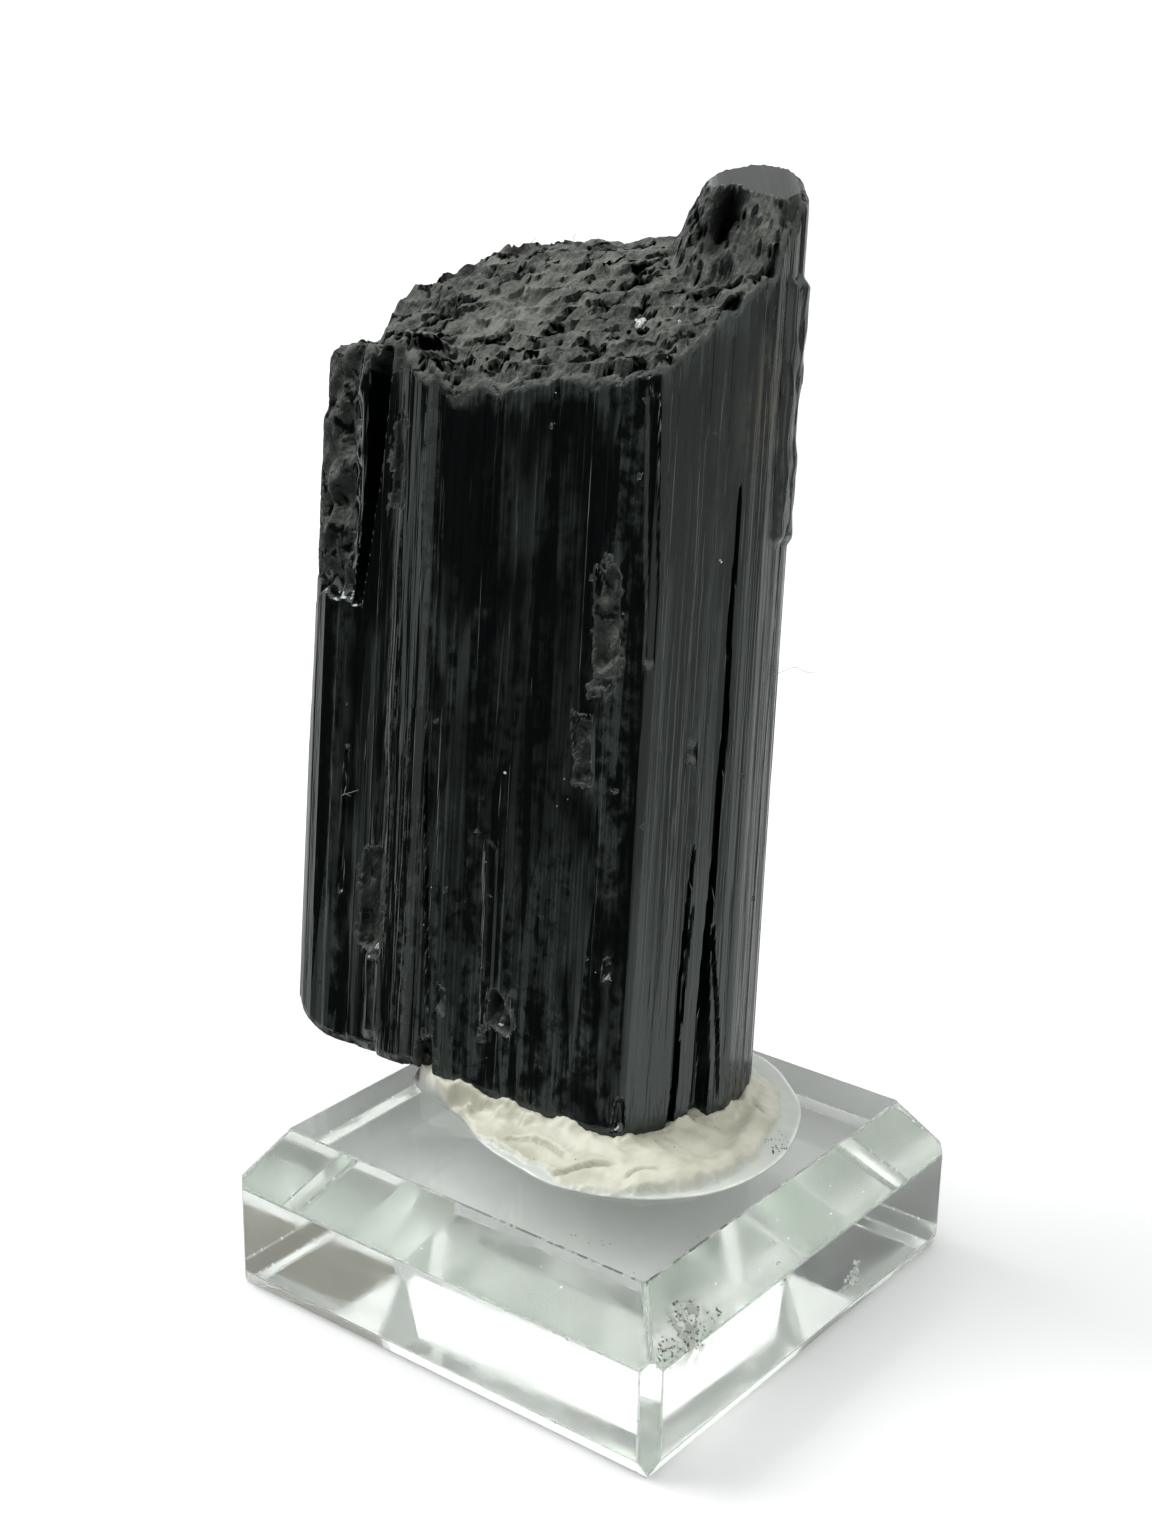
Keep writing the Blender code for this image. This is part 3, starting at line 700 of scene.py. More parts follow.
def distance_inside(points, ring):
    """Distances from points to a closed ring, positive inside it."""
    nearest = np.full(len(points), np.inf)
    inside = np.zeros(len(points), bool)
    for start, end in zip(ring, np.roll(ring, -1, axis=0)):
        side = end - start
        part = np.clip(((points - start) @ side) / (side @ side), 0, 1)
        nearest = np.minimum(nearest, np.linalg.norm(start + part[:, None] * side - points, axis=1))
        if start[1] != end[1]:
            spans = (start[1] > points[:, 1]) != (end[1] > points[:, 1])
            crossing = start[0] + (points[:, 1] - start[1]) * side[0] / side[1]
            inside ^= spans & (points[:, 0] < crossing)
    return np.where(inside, nearest, -nearest)


def noise_at(points):
    return np.array([noise.noise(Vector(point)) for point in points])


def lumps(points, per_mm):
    """Even noise between -1 and 1 over points of the cross-section."""
    place = np.column_stack([points * per_mm, np.full(len(points), 1 / per_mm)])
    return noise_at(place)


def terraced(level, points):
    """A rough slope broken into uneven steps."""
    for height, stray, per_mm in TERRACES:
        part = (level + stray * lumps(points, per_mm)) / height
        part = part - np.floor(part)
        level = level + height * (smooth((part - 0.5) / TERRACE_STEEPNESS + 0.5) - part)
    return level


def top_surface(points):
    """Heights of the top over points of the cross-section, and 1 where it isn't broken."""
    across, deep = points[:, 0], points[:, 1]
    slope = TOP_AT_RIDGE + TOP_SLOPE[0] * across + TOP_SLOPE[1] * deep
    part = np.maximum(PLATEAU_BLEND - np.abs(slope - PLATEAU), 0.0) / PLATEAU_BLEND
    slope = np.minimum(slope, PLATEAU) - part * part * PLATEAU_BLEND / 4
    slope = slope + LIP_HEIGHT * smooth(1 - np.linalg.norm(points - LIP, axis=1) / LIP_RADIUS)
    slope = slope + (LEDGE_TOP - slope) * smooth((LEDGE_RIGHT - across) / LEDGE_BLEND + 0.5)
    worn = np.clip((LEDGE_WORN[0] - across) / LEDGE_WORN[1], 0.0, 1.0)
    slope = slope - LEDGE_WORN[2] * (1 - np.sqrt(1 - worn * worn))
    rough = sum(height * lumps(points, size) for size, height in LUMPS)
    rough = terraced(slope + rough, points) - slope
    facet = SPIRE_TOP + SPIRE_SLOPE * (deep - SPIRE_FRONT)
    facet = facet - SPIRE_ROUNDING[0] * ((across - SPIRE_MIDDLE) / SPIRE_ROUNDING[1]) ** 4
    flank = slope + SPIRE_FOOT + SPIRE_STEEPNESS * distance_inside(points, np.array(SPIRE)) + rough
    flank = flank - SCOOP_DEPTH * smooth(1 - np.linalg.norm(points - SCOOP, axis=1) / SCOOP_RADIUS)
    spire = np.minimum(facet, flank)
    above = smooth((spire - slope - rough) / SPIRE_FADES[0])
    on_facet = smooth((flank - facet) / SPIRE_FADES[1]) * above
    right_of = across - GROWN_FROM[0] - GROWN_FROM[1] * (spire - TOP_AT_RIDGE)
    grown = above * smooth(right_of / SPIRE_FADES[2] + 0.5)
    return np.maximum(slope + rough, spire), np.maximum(on_facet, grown)


def top_height(points):
    return top_surface(points)[0]


def foot_height(points):
    """Heights, along the crystal, of its broken foot, which is nearly level on the putty."""
    across, deep = points[:, 0], points[:, 1]
    rise = FOOT_RISE * np.maximum(0.0, -across - FOOT_FLAT)
    worn = np.clip(np.maximum(WORN_FROM - across, 0.0) / WORN_RADIUS, 0.0, 1.0)
    rise = rise + WORN_RADIUS * (1 - np.sqrt(1 - worn * worn))
    level = FOOT_LEVEL + rise + FOOT_LUMPS[1] * lumps(points, FOOT_LUMPS[0]) - STANCE[2][3]
    return (level - STANCE[2][0] * across - STANCE[2][1] * deep) / STANCE[2][2]


def growth_steps():
    """Girths of the edges between flat strips, and how far each edge stands out."""
    draw = random.Random(STEP_SEED)
    edges = []
    girth = 0.0
    while girth < GIRTH - STEP_WIDTH[0]:
        edges.append((girth, draw.uniform(-1.0, 1.0) * STEP_DEPTH))
        girth += STEP_WIDTH[0] + (STEP_WIDTH[1] - STEP_WIDTH[0]) * draw.random() ** STEP_BIAS
    edges = np.array(edges + [(GIRTH, edges[0][1])])
    widths = np.diff(edges[:, 0])
    narrower = np.minimum(widths, np.roll(widths, 1))
    edges[:-1, 1] *= np.minimum(narrower / STEP_FULL, 1.0)
    edges[-1, 1] = edges[0, 1]
    return edges


growth = growth_steps()


def girth_from(girth, middle=0.0):
    """Distances round the side from a girth, at most half the way round."""
    return np.mod(girth - middle + GIRTH / 2, GIRTH) - GIRTH / 2


def side_noise(girth, height, around, along, seed):
    place = girth_from(girth)
    return noise_at(np.column_stack([place * around, height * along, np.full(len(girth), seed)]))


def mark_offset(girth, height):
    """How far the slots, hollows and raised strips move the side at points of it."""
    offset = np.zeros(len(girth))
    sideways = side_noise(girth, height, *SIDEWAYS)
    lengthways = side_noise(girth, height, *LENGTHWAYS)
    girth = girth + sideways * MARK_WANDER[0]
    height = height + lengthways * MARK_WANDER[1]
    for low_girth, high_girth, low, high, low_width, high_width, depth, rough in MARKS:
        part = (height - low) / (high - low)
        away = girth_from(girth, low_girth + (high_girth - low_girth) * part)
        width = np.maximum(low_width + (high_width - low_width) * part, MARK_NARROWEST)
        across = smooth((width / 2 - np.abs(away)) / (MARK_EDGE * width) + 0.5)
        along = smooth(np.minimum(height - low, high - height) / MARK_FADE + 0.5)
        reach = across * along
        if rough:
            touched = np.nonzero(reach > 0)[0]
            lumpy = side_noise(girth[touched], height[touched], *MARK_LUMPS, depth)
            reach[touched] *= 1 + rough * 2 * lumpy
        offset -= depth * reach
    return offset


def side_place(girth, height):
    """Points of the side, across and deep, from girths and heights."""
    steps = np.interp(np.mod(girth, GIRTH), growth[:, 0], growth[:, 1])
    reach = steps + mark_offset(girth, height)
    return section_point(girth) + section_outward(girth) * reach[:, None]


def waves_round(girth, height, waves):
    return sum(strength * side_noise(girth, height, *wave) for strength, *wave in waves)


def parts_cover(girth, height, ragged, parts, edge):
    """How much of listed parts of the side covers places on it, with ragged edges."""
    cover = np.zeros(len(girth))
    for low_girth, high_girth, low, high, wander, strength in parts:
        middle = (low_girth + high_girth) / 2
        side = (high_girth - low_girth) / 2 - np.abs(girth_from(girth, middle))
        end = np.minimum(height - low, high - height) * 0.5
        inside = smooth((np.minimum(side, end) + wander * ragged) / (edge * (0.4 + wander)) + 0.5)
        cover = np.maximum(cover, strength * inside)
    return cover


def brokenness(girth, height, below_top, above_foot):
    """1 where the side is broken, 0 where it is a grown face."""
    ragged = waves_round(girth, height, BROKEN_RAGGED)
    drift = waves_round(girth, height, SLOW_DRIFT)
    share, by_drift, by_ragged = RIM_STRAY
    rim = np.interp(girth_from(girth), *np.transpose(RIM_REACH))
    rim = rim * (share + by_drift * drift + by_ragged * ragged)
    broken = smooth((np.maximum(rim, RIM_LEAST) - below_top) / RIM_FADE + 0.5)
    share, by_drift, by_ragged = FOOT_RIM
    rim = np.maximum(share + by_drift * drift + by_ragged * ragged, FOOT_RIM_LEAST)
    broken = np.maximum(broken, smooth((rim - above_foot) / FOOT_RIM_FADE + 0.5))
    return np.maximum(broken, parts_cover(girth, height, ragged, BROKEN_PARTS, BROKEN_EDGE))


def scuffs(girth, height, below_top):
    """How scuffed and grey the side is, 0 to 1."""
    ragged = waves_round(girth, height, SCUFFED_RAGGED)
    cover = parts_cover(girth, height, ragged, SCUFFED_PARTS, SCUFFED_EDGE)
    reach, stray, fade = TOP_SCUFF_REACH
    return np.maximum(cover, TOP_SCUFF * smooth((reach + stray * ragged - below_top) / fade + 0.5))


def striation(girth):
    strength = np.full(len(girth), STRIATED_LEAST)
    for low, high, part in STRIATED_PARTS:
        inside = (high - low) / 2 - np.abs(girth_from(girth, (low + high) / 2))
        strength = np.maximum(strength, part * smooth(inside / STRIATED_EDGE + 0.5))
    return strength


def browner(girth, height):
    shade = np.zeros(len(girth))
    for at_girth, at_height, around, along in BROWNER:
        away = np.hypot(girth_from(girth, at_girth) / around, (height - at_height) / along)
        shade = np.maximum(shade, smooth(1 - away))
    return shade


def row_levels(girths, low, high):
    """How often each cell of each column is halved: most where it is rough or a mark ends."""
    count = len(girths)
    cell_girth = np.repeat(girths, ROW_COUNT)

    def height_at(part):
        return (low[:, None] + (high - low)[:, None] * (np.arange(ROW_COUNT) + part) / ROW_COUNT).ravel()

    height = height_at(0.5)
    rough = brokenness(cell_girth, height, np.repeat(high, ROW_COUNT) - height,
                       height - np.repeat(low, ROW_COUNT)).reshape(count, ROW_COUNT)
    rough = np.maximum(rough, np.maximum(np.roll(rough, 2, 0), np.roll(rough, -2, 0)))
    marks = [mark_offset(cell_girth, height_at(part)) for part in (0.0, 0.5, 1.0)]
    change = np.ptp(marks, axis=0).reshape(count, ROW_COUNT)
    level = np.where((rough > ROUGH_FROM) | (change > MARK_END_CHANGE), ROUGH_LEVEL, 0)
    level[:, [0, -1]] = ROUGH_LEVEL
    level[:, 1:-1] = np.maximum(level[:, 1:-1], np.maximum(level[:, :-2], level[:, 2:]) - 2)
    return level


def side_faces(girths, first, level):
    """The side's faces, each a ring of corners: the girth and the number of each one's point."""
    rings = []

    def column_side(column, cell):
        return [first[column, cell] + step for step in range(2 ** level[column, cell] + 1)]

    for column in range(len(girths)):
        after = (column + 1) % len(girths)
        here = girths[column]
        there = girths[after] if after else girths[0] + GIRTH
        for cell in range(ROW_COUNT):
            left = column_side(column, cell)
            right = column_side(after, cell)
            i = j = 0
            while i < len(left) - 1 or j < len(right) - 1:
                next_left = (i + 1) / (len(left) - 1) if i < len(left) - 1 else 2.0
                next_right = (j + 1) / (len(right) - 1) if j < len(right) - 1 else 2.0
                ring = [(here, left[i]), (there, right[j])]
                climb_left = next_left < next_right + TINY
                climb_right = next_right < next_left + TINY
                if climb_right:
                    j += 1
                    ring.append((there, right[j]))
                if climb_left:
                    i += 1
                    ring.append((here, left[i]))
                rings.append(ring)
    return rings


def filling(edge, spacing):
    """Points a spacing apart, in staggered rows, inside a closed ring."""
    low = edge.min(0)
    high = edge.max(0)
    row_height = spacing * math.sqrt(3) / 2
    rows = np.arange(int((high[1] - low[1]) / row_height) + 1)
    columns = np.arange(int((high[0] - low[0]) / spacing) + 1)
    row, column = (grid.ravel() for grid in np.meshgrid(rows, columns, indexing="ij"))
    points = np.column_stack([low[0] + (column + row % 2 / 2) * spacing, low[1] + row * row_height])
    return points[distance_inside(points, edge) > spacing * FILL_MARGIN]


def flat_faces(edge, inner):
    """Faces over a closed ring and the points inside it, as numbers of their corners."""
    ring = [(index, (index + 1) % len(edge)) for index in range(len(edge))]
    points = [Vector(point) for point in np.vstack([edge, inner])]
    result = delaunay_2d_cdt(points, ring, [], 1, TINY)
    return [[result[3][corner][0] for corner in face] for face in result[2]]


def keep_values(mesh, **values_of):
    """Keep a number or a direction for each of a mesh's points."""
    for name, values in values_of.items():
        kind, key = ("FLOAT_VECTOR", "vector") if np.ndim(values) == 2 else ("FLOAT", "value")
        layer = mesh.attributes.new(name, kind, "POINT")
        layer.data.foreach_set(key, np.ascontiguousarray(values, np.float32).ravel())


def crystal_shape():
    """The crystal as a mesh in its own frame, with what its relief and finish follow."""
    girths = np.concatenate([np.arange(FRONT[0], FRONT[1], COLUMN_FINE),
                             np.arange(FRONT[1], GIRTH + FRONT[0], COLUMN_COARSE)])
    count = len(girths)
    low = foot_height(section_point(girths))
    high = top_height(side_place(girths, np.full(count, TOP_AT_RIDGE)))
    level = row_levels(girths, low, high)

    # The side's points, column by column
    owner = []
    part = []
    first = np.zeros((count, ROW_COUNT), int)
    for column in range(count):
        for cell in range(ROW_COUNT):
            first[column, cell] = len(owner)
            pieces = 2 ** level[column, cell]
            owner += [column] * pieces
            part += [(cell + step / pieces) / ROW_COUNT for step in range(pieces)]
        owner.append(column)
        part.append(1.0)
    owner = np.array(owner)
    girth = girths[owner]
    height = low[owner] + (high - low)[owner] * np.array(part)
    below_top = high[owner] - height
    above_foot = height - low[owner]
    outward = section_outward(girth)
    rim = np.clip(1 - np.minimum(below_top, above_foot) / RIM_DEPTH, 0, 1)
    place = side_place(girth, height) - outward * (RIM_ROUNDING * (1 - np.sqrt(1 - rim * rim)))[:, None]
    points = np.column_stack([place, height])
    broken = brokenness(girth, height, below_top, above_foot)
    away = np.column_stack([outward * (1 - SIDE_CALM * broken)[:, None], np.zeros(len(outward))])
    away[below_top < TINY, 2] = 1.0
    away[above_foot < TINY, 2] = -1.0
    follows = {"girth": girth, "broken": broken, "scuffed": scuffs(girth, height, below_top),
               "striated": striation(girth), "brown": browner(girth, height),
               "hollow": np.zeros(len(girth)), "scraped": np.zeros(len(girth))}
    rings = side_faces(girths, first, level)

    # The broken top and foot, filled in
    top_ring = [first[column, -1] + 2 ** level[column, -1] for column in range(count)]
    foot_ring = [first[column, 0] for column in range(count)]
    for ring, spacing, is_top in ((top_ring, TOP_SPACING, True), (foot_ring, FOOT_SPACING, False)):
        edge = points[ring][:, :2]
        inner = filling(edge, spacing)
        new = {name: np.zeros(len(inner)) for name in follows}
        if is_top:
            heights, whole = top_surface(inner)
            new["broken"] = 1 - whole
            new["scuffed"] = FACET_SCUFF * whole
            # Painted shade: where the hollow by the spire is to be drawn black
            from_scoop = np.linalg.norm(inner - SCOOP, axis=1) / SCOOP_RADIUS
            above, fade = SCOOP_FROM
            new["hollow"] = smooth(SCOOP_SHADE - from_scoop) * smooth((heights - above) / fade)
            from_scrape = np.linalg.norm((inner - SCRAPED) / SCRAPED_REACH, axis=1)
            from_scrape = from_scrape + SCRAPED_RAGGED[0] * lumps(inner, SCRAPED_RAGGED[1])
            new["scraped"] = smooth((1 - from_scrape) / SCRAPED_FADE)
        else:
            heights = foot_height(inner)
            new["broken"] = np.ones(len(inner))
        number = ring + list(range(len(points), len(points) + len(inner)))
        points = np.vstack([points, np.column_stack([inner, heights])])
        away = np.vstack([away, np.tile(BREAK_FACING if is_top else (0.0, 0.0, -1.0), (len(inner), 1))])
        follows = {name: np.concatenate([follows[name], new[name]]) for name in follows}
        for face in flat_faces(edge, inner):
            corners = [number[corner] for corner in (face if is_top else face[::-1])]
            rings.append([(points[corner][0], corner) for corner in corners])

    away /= np.maximum(np.linalg.norm(away, axis=1, keepdims=True), 1.0)
    mesh = bpy.data.meshes.new("tourmaline")
    mesh.from_pydata(points.tolist(), [], [[corner for _, corner in ring] for ring in rings])
    keep_values(mesh, height=points[:, 2], away=away, **follows)
    growth_map = [(around, points[corner][2]) for ring in rings for around, corner in ring]
    growth_map = np.array(growth_map, np.float32) * MM
    mesh.uv_layers.new(name="growth").data.foreach_set("uv", growth_map.ravel())
    return mesh


def relief_tree():
    """Growth striae on the grown faces and a rough break elsewhere, pushed out of the surface."""
    tree, source, result = geometry_tree("growth_relief", [
        ("Striae Depth", "NodeSocketFloat"), ("Striae Width", "NodeSocketFloat"),
        ("Striae Length", "NodeSocketFloat"), ("Break Depth", "NodeSocketFloat"),
        ("Break Size", "NodeSocketFloat"), ("Seed", "NodeSocketFloat"),
        ("Material", "NodeSocketMaterial")])

    def stored(name, kind="FLOAT"):
        return node(tree, "GeometryNodeInputNamedAttribute", {"data_type": kind},
                    {"Name": name}).outputs["Attribute"]

    def picked(cells):
        """Two of the random numbers of each cell, from minus to plus a half."""
        pick = node(tree, "FunctionNodeSeparateColor", None, {"Color": cells.outputs["Color"]})
        return less(tree, pick.outputs["Red"], 0.5), less(tree, pick.outputs["Green"], 0.5)

    def noise_in(place, per_mm, detail, roughness, lacunarity=2.0, shift=None):
        seed = source.outputs["Seed"]
        if shift is not None:
            seed = math_node(tree, "ADD", seed, shift)
        return node(tree, "ShaderNodeTexNoise", {"noise_dimensions": "4D"},
                    {"Vector": place, "W": seed, "Scale": per_mm, "Detail": detail,
                     "Roughness": roughness, "Lacunarity": lacunarity}).outputs["Fac"]

    def striae(width, length, depth, shift):
        """Long strips that each stand higher or lower and are tilted."""
        strip_width = times(tree, source.outputs["Striae Width"], width)
        strip_length = times(tree, source.outputs["Striae Length"], length)
        around = math_node(tree, "DIVIDE", stored("girth"), strip_width)
        along = math_node(tree, "DIVIDE", stored("height"), strip_length)
        at = node(tree, "ShaderNodeCombineXYZ", None, {"X": around, "Y": along, "Z": 0.0}).outputs[0]
        seed = math_node(tree, "ADD", source.outputs["Seed"], shift)
        away = node(tree, "ShaderNodeCombineXYZ", None, {"X": seed, "Y": seed}).outputs[0]
        shifted = vector_node(tree, "ADD", at, away)
        cells = node(tree, "ShaderNodeTexVoronoi", {"voronoi_dimensions": "2D"},
                     {"Vector": shifted, "Scale": 1.0, "Randomness": 1.0})
        raised, lean = picked(cells)
        here = node(tree, "ShaderNodeSeparateXYZ", None, {0: shifted}).outputs["X"]
        centre = node(tree, "ShaderNodeSeparateXYZ", None, {0: cells.outputs["Position"]}).outputs["X"]
        tilt = times(tree, lean, less(tree, here, centre))
        strip = times(tree, part_of(tree, tilt, STRIA_TILT, raised), depth)
        return times(tree, strip, source.outputs["Striae Depth"])

    def chunks(place, per_mm):
        """Chunks that each stand higher or lower and are tilted, and the cracks between them."""
        cells = node(tree, "ShaderNodeTexVoronoi", {"voronoi_dimensions": "3D", "feature": "SMOOTH_F1"},
                     {"Vector": place, "Scale": per_mm, "Smoothness": CHUNK_ROUNDNESS, "Randomness": 1.0})
        here = vector_node(tree, "SCALE", place, Scale=per_mm)
        centre = vector_node(tree, "SCALE", cells.outputs["Position"], Scale=per_mm)
        lean = vector_node(tree, "SUBTRACT", cells.outputs["Color"], (0.5, 0.5, 0.5))
        tilt = vector_node(tree, "DOT_PRODUCT", vector_node(tree, "SUBTRACT", here, centre), lean)
        return part_of(tree, tilt, CHUNK_TILT, picked(cells)[0])

    broken = stored("broken")
    large, small = (striae(*size, octave * STRIA_SHIFT) for octave, size in enumerate(STRIA_SIZES))
    relief = times(tree, math_node(tree, "ADD", large, small), stored("striated"))

    # The break: low chunks, grain on them, and pockets eaten into it. Chunks and pockets are
    # shallow on the side, where the grain stands out instead.
    place = node(tree, "GeometryNodeInputPosition").outputs[0]
    per_chunk = math_node(tree, "DIVIDE", 1.0, source.outputs["Break Size"])
    waves_per_mm, reach = BREAK_BENT
    bend = node(tree, "ShaderNodeTexNoise", None, {"Vector": place, "Scale": waves_per_mm, "Detail": 2.0})
    bent = vector_node(tree, "MULTIPLY_ADD", bend.outputs["Color"], (reach,) * 3, place)
    drawn = vector_node(tree, "MULTIPLY", bent, BREAK_DRAWN)
    away = stored("away", "FLOAT_VECTOR")
    on_top = ramp(tree, height_of(tree, away), *ON_TOP)
    on_side, more = CHUNK_HEIGHT
    bumps = times(tree, chunks(drawn, per_chunk), part_of(tree, on_top, more, on_side))
    grains, grain_height = BREAK_GRAIN
    grain = noise_in(drawn, times(tree, per_chunk, grains), 6.0, 0.66, 2.1)
    bumps = part_of(tree, less(tree, grain, 0.5), grain_height, bumps)
    eaten = []
    for scale, low, high in POCKETS:
        tone = noise_in(drawn, times(tree, per_chunk, scale), 3.0, 0.55, shift=scale * POCKET_SHIFT)
        eaten.append(ramp(tree, tone, low, high))
    eaten = times(tree, math_node(tree, "MAXIMUM", *eaten), part_of(tree, on_top, 0.5, 0.5))
    bumps = part_of(tree, eaten, -POCKET_DEPTH, bumps)
    bumps = times(tree, bumps, part_of(tree, stored("scraped"), -SCRAPED_CALM, 1.0))

    total = node(tree, "ShaderNodeMix", None,
                 {0: broken, 2: relief, 3: times(tree, bumps, source.outputs["Break Depth"])}).outputs[0]
    shaped = node(tree, "GeometryNodeSetPosition", None,
                  {"Geometry": source.outputs["Geometry"],
                   "Offset": vector_node(tree, "SCALE", away, Scale=total)}).outputs["Geometry"]
    for name, value in (("relief", bumps), ("pocket", eaten)):
        shaped = node(tree, "GeometryNodeStoreNamedAttribute", {"data_type": "FLOAT", "domain": "POINT"},
                      {"Geometry": shaped, "Name": name,
                       "Value": times(tree, value, broken)}).outputs["Geometry"]
    return finish_tree(tree, source, result, shaped)


def tourmaline():
    material, tree, shader = new_material("black_tourmaline", IOR=STONE_IOR, Metallic=0.0,
                                          Specular_Tint=STONE_TINT)
    broken, scuffed, striated, scraped = (stored_value(tree, name) for name in
                                          ("broken", "scuffed", "striated", "scraped"))
    growth_place = node(tree, "ShaderNodeUVMap", {"uv_map": "growth"}).outputs["UV"]
    place = place_on(tree)

    def drawn_out(width, length):
        """Place on the side, in strips of a width and a length in millimetres."""
        return node(tree, "ShaderNodeMapping", {"vector_type": "POINT"},
                    {"Vector": growth_place, "Scale": (1 / width / MM, 1 / length / MM, 1.0)}).outputs[0]

    def streaks(width, length, detail=2.0):
        return node(tree, "ShaderNodeTexNoise", {"noise_dimensions": "2D"},
                    {"Vector": drawn_out(width, length), "Scale": 1.0, "Detail": detail,
                     "Roughness": 0.6}).outputs["Fac"]

    def strips(width, length):
        """An even tone for each long strip, with abrupt ends."""
        cells = node(tree, "ShaderNodeTexVoronoi", {"voronoi_dimensions": "2D"},
                     {"Vector": drawn_out(width, length), "Scale": 1.0})
        return node(tree, "ShaderNodeSeparateColor", None, {0: cells.outputs["Color"]}).outputs["Red"]

    def noise_of(size, detail=4.0, roughness=0.6):
        """Even noise with grains of a size in millimetres."""
        return cloudy(tree, place, 1 / size / MM, detail, roughness)

    def centred(value):
        return less(tree, value, 0.5)

    fine = streaks(0.22, 14.0)
    grain = noise_of(0.4, 6.0, 0.7)
    patches = noise_of(2.2, 4.0)

    # Grey haze on the scuffed strips, drawn into lines where they are striated
    tone = part_of(tree, strips(1.7, 30.0), 0.55, times(tree, strips(0.6, 13.0), 0.25))
    tone = part_of(tree, streaks(0.8, 9.0, 4.0), 0.5, tone)
    tone = part_of(tree, centred(patches), 0.5, tone)
    tone = part_of(tree, centred(noise_of(0.9, 3.0)), 0.7, tone)
    haze = times(tree, scuffed, ramp(tree, tone, *HAZE_TONES))
    lines = ramp(tree, streaks(0.24, 22.0, 2.0), *LINE_TONES)
    lines = node(tree, "ShaderNodeMix", None, {0: striated, 2: 1.0, 3: lines}).outputs[0]
    haze = times(tree, haze, lines)
    haze_color = mix_color(tree, stored_value(tree, "brown"), HAZE_GREY, HAZE_BROWN)
    face_color = mix_color(tree, haze, FACE_BLACK, haze_color)

    # Small pits, here and there on the grown faces
    pit_cells = node(tree, "ShaderNodeTexVoronoi", {"voronoi_dimensions": "3D"},
                     {"Vector": place, "Scale": 1 / PIT_SPACING / MM, "Randomness": 1.0})
    chosen = node(tree, "ShaderNodeSeparateColor", None, {0: pit_cells.outputs["Color"]}).outputs["Blue"]
    away = part_of(tree, centred(noise_of(0.3)), 0.45, pit_cells.outputs["Distance"])
    pits = times(tree, ramp(tree, away, *PIT_EDGE, 1.0, 0.0), ramp(tree, chosen, *PIT_CHOSEN))
    face_color = mix_color(tree, pits, face_color, PIT_BLACK)
    tree.links.new(face_color, shader.inputs["Base Color"])
    face_rough = part_of(tree, haze, HAZE_ROUGHNESS, FACE_ROUGHNESS)
    face_rough = part_of(tree, centred(fine), FINE_ROUGHNESS, face_rough)
    face_rough = part_of(tree, pits, PIT_ROUGHNESS, face_rough)
    face_rough = part_of(tree, broken, RIM_ROUGHNESS, face_rough)
    tree.links.new(face_rough, shader.inputs["Roughness"])

    # The break: lighter on raised chunks and where it faces up, partly settled dust and partly painted
    # light from above; its pockets and the hollow by the spire get painted shade, black
    facing = height_of(tree, node(tree, "ShaderNodeNewGeometry").outputs["Normal"])
    lit = part_of(tree, centred(grain), 1.1, times(tree, stored_value(tree, "relief"), 0.55))
    lit = part_of(tree, centred(patches), 1.0, lit)
    light_and_dust = times(tree, ramp(tree, lit, -0.45, 0.5), ramp(tree, facing, 0.1, 0.7, 0.16, 1.0))
    # Painted shade: the pockets and the hollow by the spire are blacked out, and there a black diffuse
    # shader is mixed in
    painted_shade = ramp(tree, less(tree, stored_value(tree, "pocket"), scraped), 0.15, 0.6)
    painted_shade = math_node(tree, "MAXIMUM", painted_shade, stored_value(tree, "hollow"))
    light_and_dust = times(tree, part_of(tree, scraped, 0.4, light_and_dust), less(tree, 1.0, painted_shade))
    rough_shader = node(tree, "ShaderNodeBsdfPrincipled", None, {
        "Base Color": mix_color(tree, light_and_dust, POCKET_SHADE_BLACK, LIT_CREST_GREY),
        "Roughness": ramp(tree, noise_of(0.25, 2.0), 0.3, 0.6, *BREAK_ROUGHNESS),
        "IOR": STONE_IOR, "Specular IOR Level": BREAK_GLOSS, "Specular Tint": STONE_TINT})
    black = node(tree, "ShaderNodeBsdfDiffuse", None, {"Color": SHADE_BLACK})
    open_break = node(tree, "ShaderNodeMixShader", None,
                      {0: painted_shade, 1: rough_shader.outputs[0], 2: black.outputs[0]})
    surface = node(tree, "ShaderNodeMixShader", None,
                   {0: broken, 1: shader.outputs[0], 2: open_break.outputs[0]})
    tree.links.new(surface.outputs[0], tree.nodes["Material Output"].inputs["Surface"])

    # Finer relief than the mesh holds, in millimetres: striae, swells, specks and pits, or grain
    striae = times(tree, part_of(tree, streaks(0.09, 6.0), 0.4, fine), times(tree, striated, 0.035))
    swell = times(tree, streaks(1.4, 12.0, 3.0), 0.05)
    specks = times(tree, times(tree, grain, scuffed), 0.012)
    face_height = math_node(tree, "ADD", math_node(tree, "ADD", striae, swell), specks)
    face_height = part_of(tree, pits, -0.03, face_height)
    height = node(tree, "ShaderNodeMix", None,
                  {0: broken, 2: face_height, 3: times(tree, grain, 0.22)}).outputs[0]
    bump = node(tree, "ShaderNodeBump", None, {"Strength": 1.0, "Distance": MM, "Height": height})
    for target in (shader, rough_shader):
        tree.links.new(bump.outputs["Normal"], target.inputs["Normal"])
    return material


crystal = in_scene("tourmaline", crystal_shape())
apply_tree(crystal, relief_tree(), Striae_Depth=STRIA_DEPTH, Striae_Width=STRIA_WIDTH,
           Striae_Length=STRIA_LENGTH, Break_Depth=BREAK_DEPTH, Break_Size=BREAK_SIZE,
           Seed=float(CRYSTAL_SEED), Material=tourmaline())
crystal.data.transform(Matrix.Scale(MM, 4) @ STANCE)
for name in ("girth", "height", "away"):
    crystal.data.attributes.remove(crystal.data.attributes[name])
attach(crystal, "root")
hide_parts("crystal")


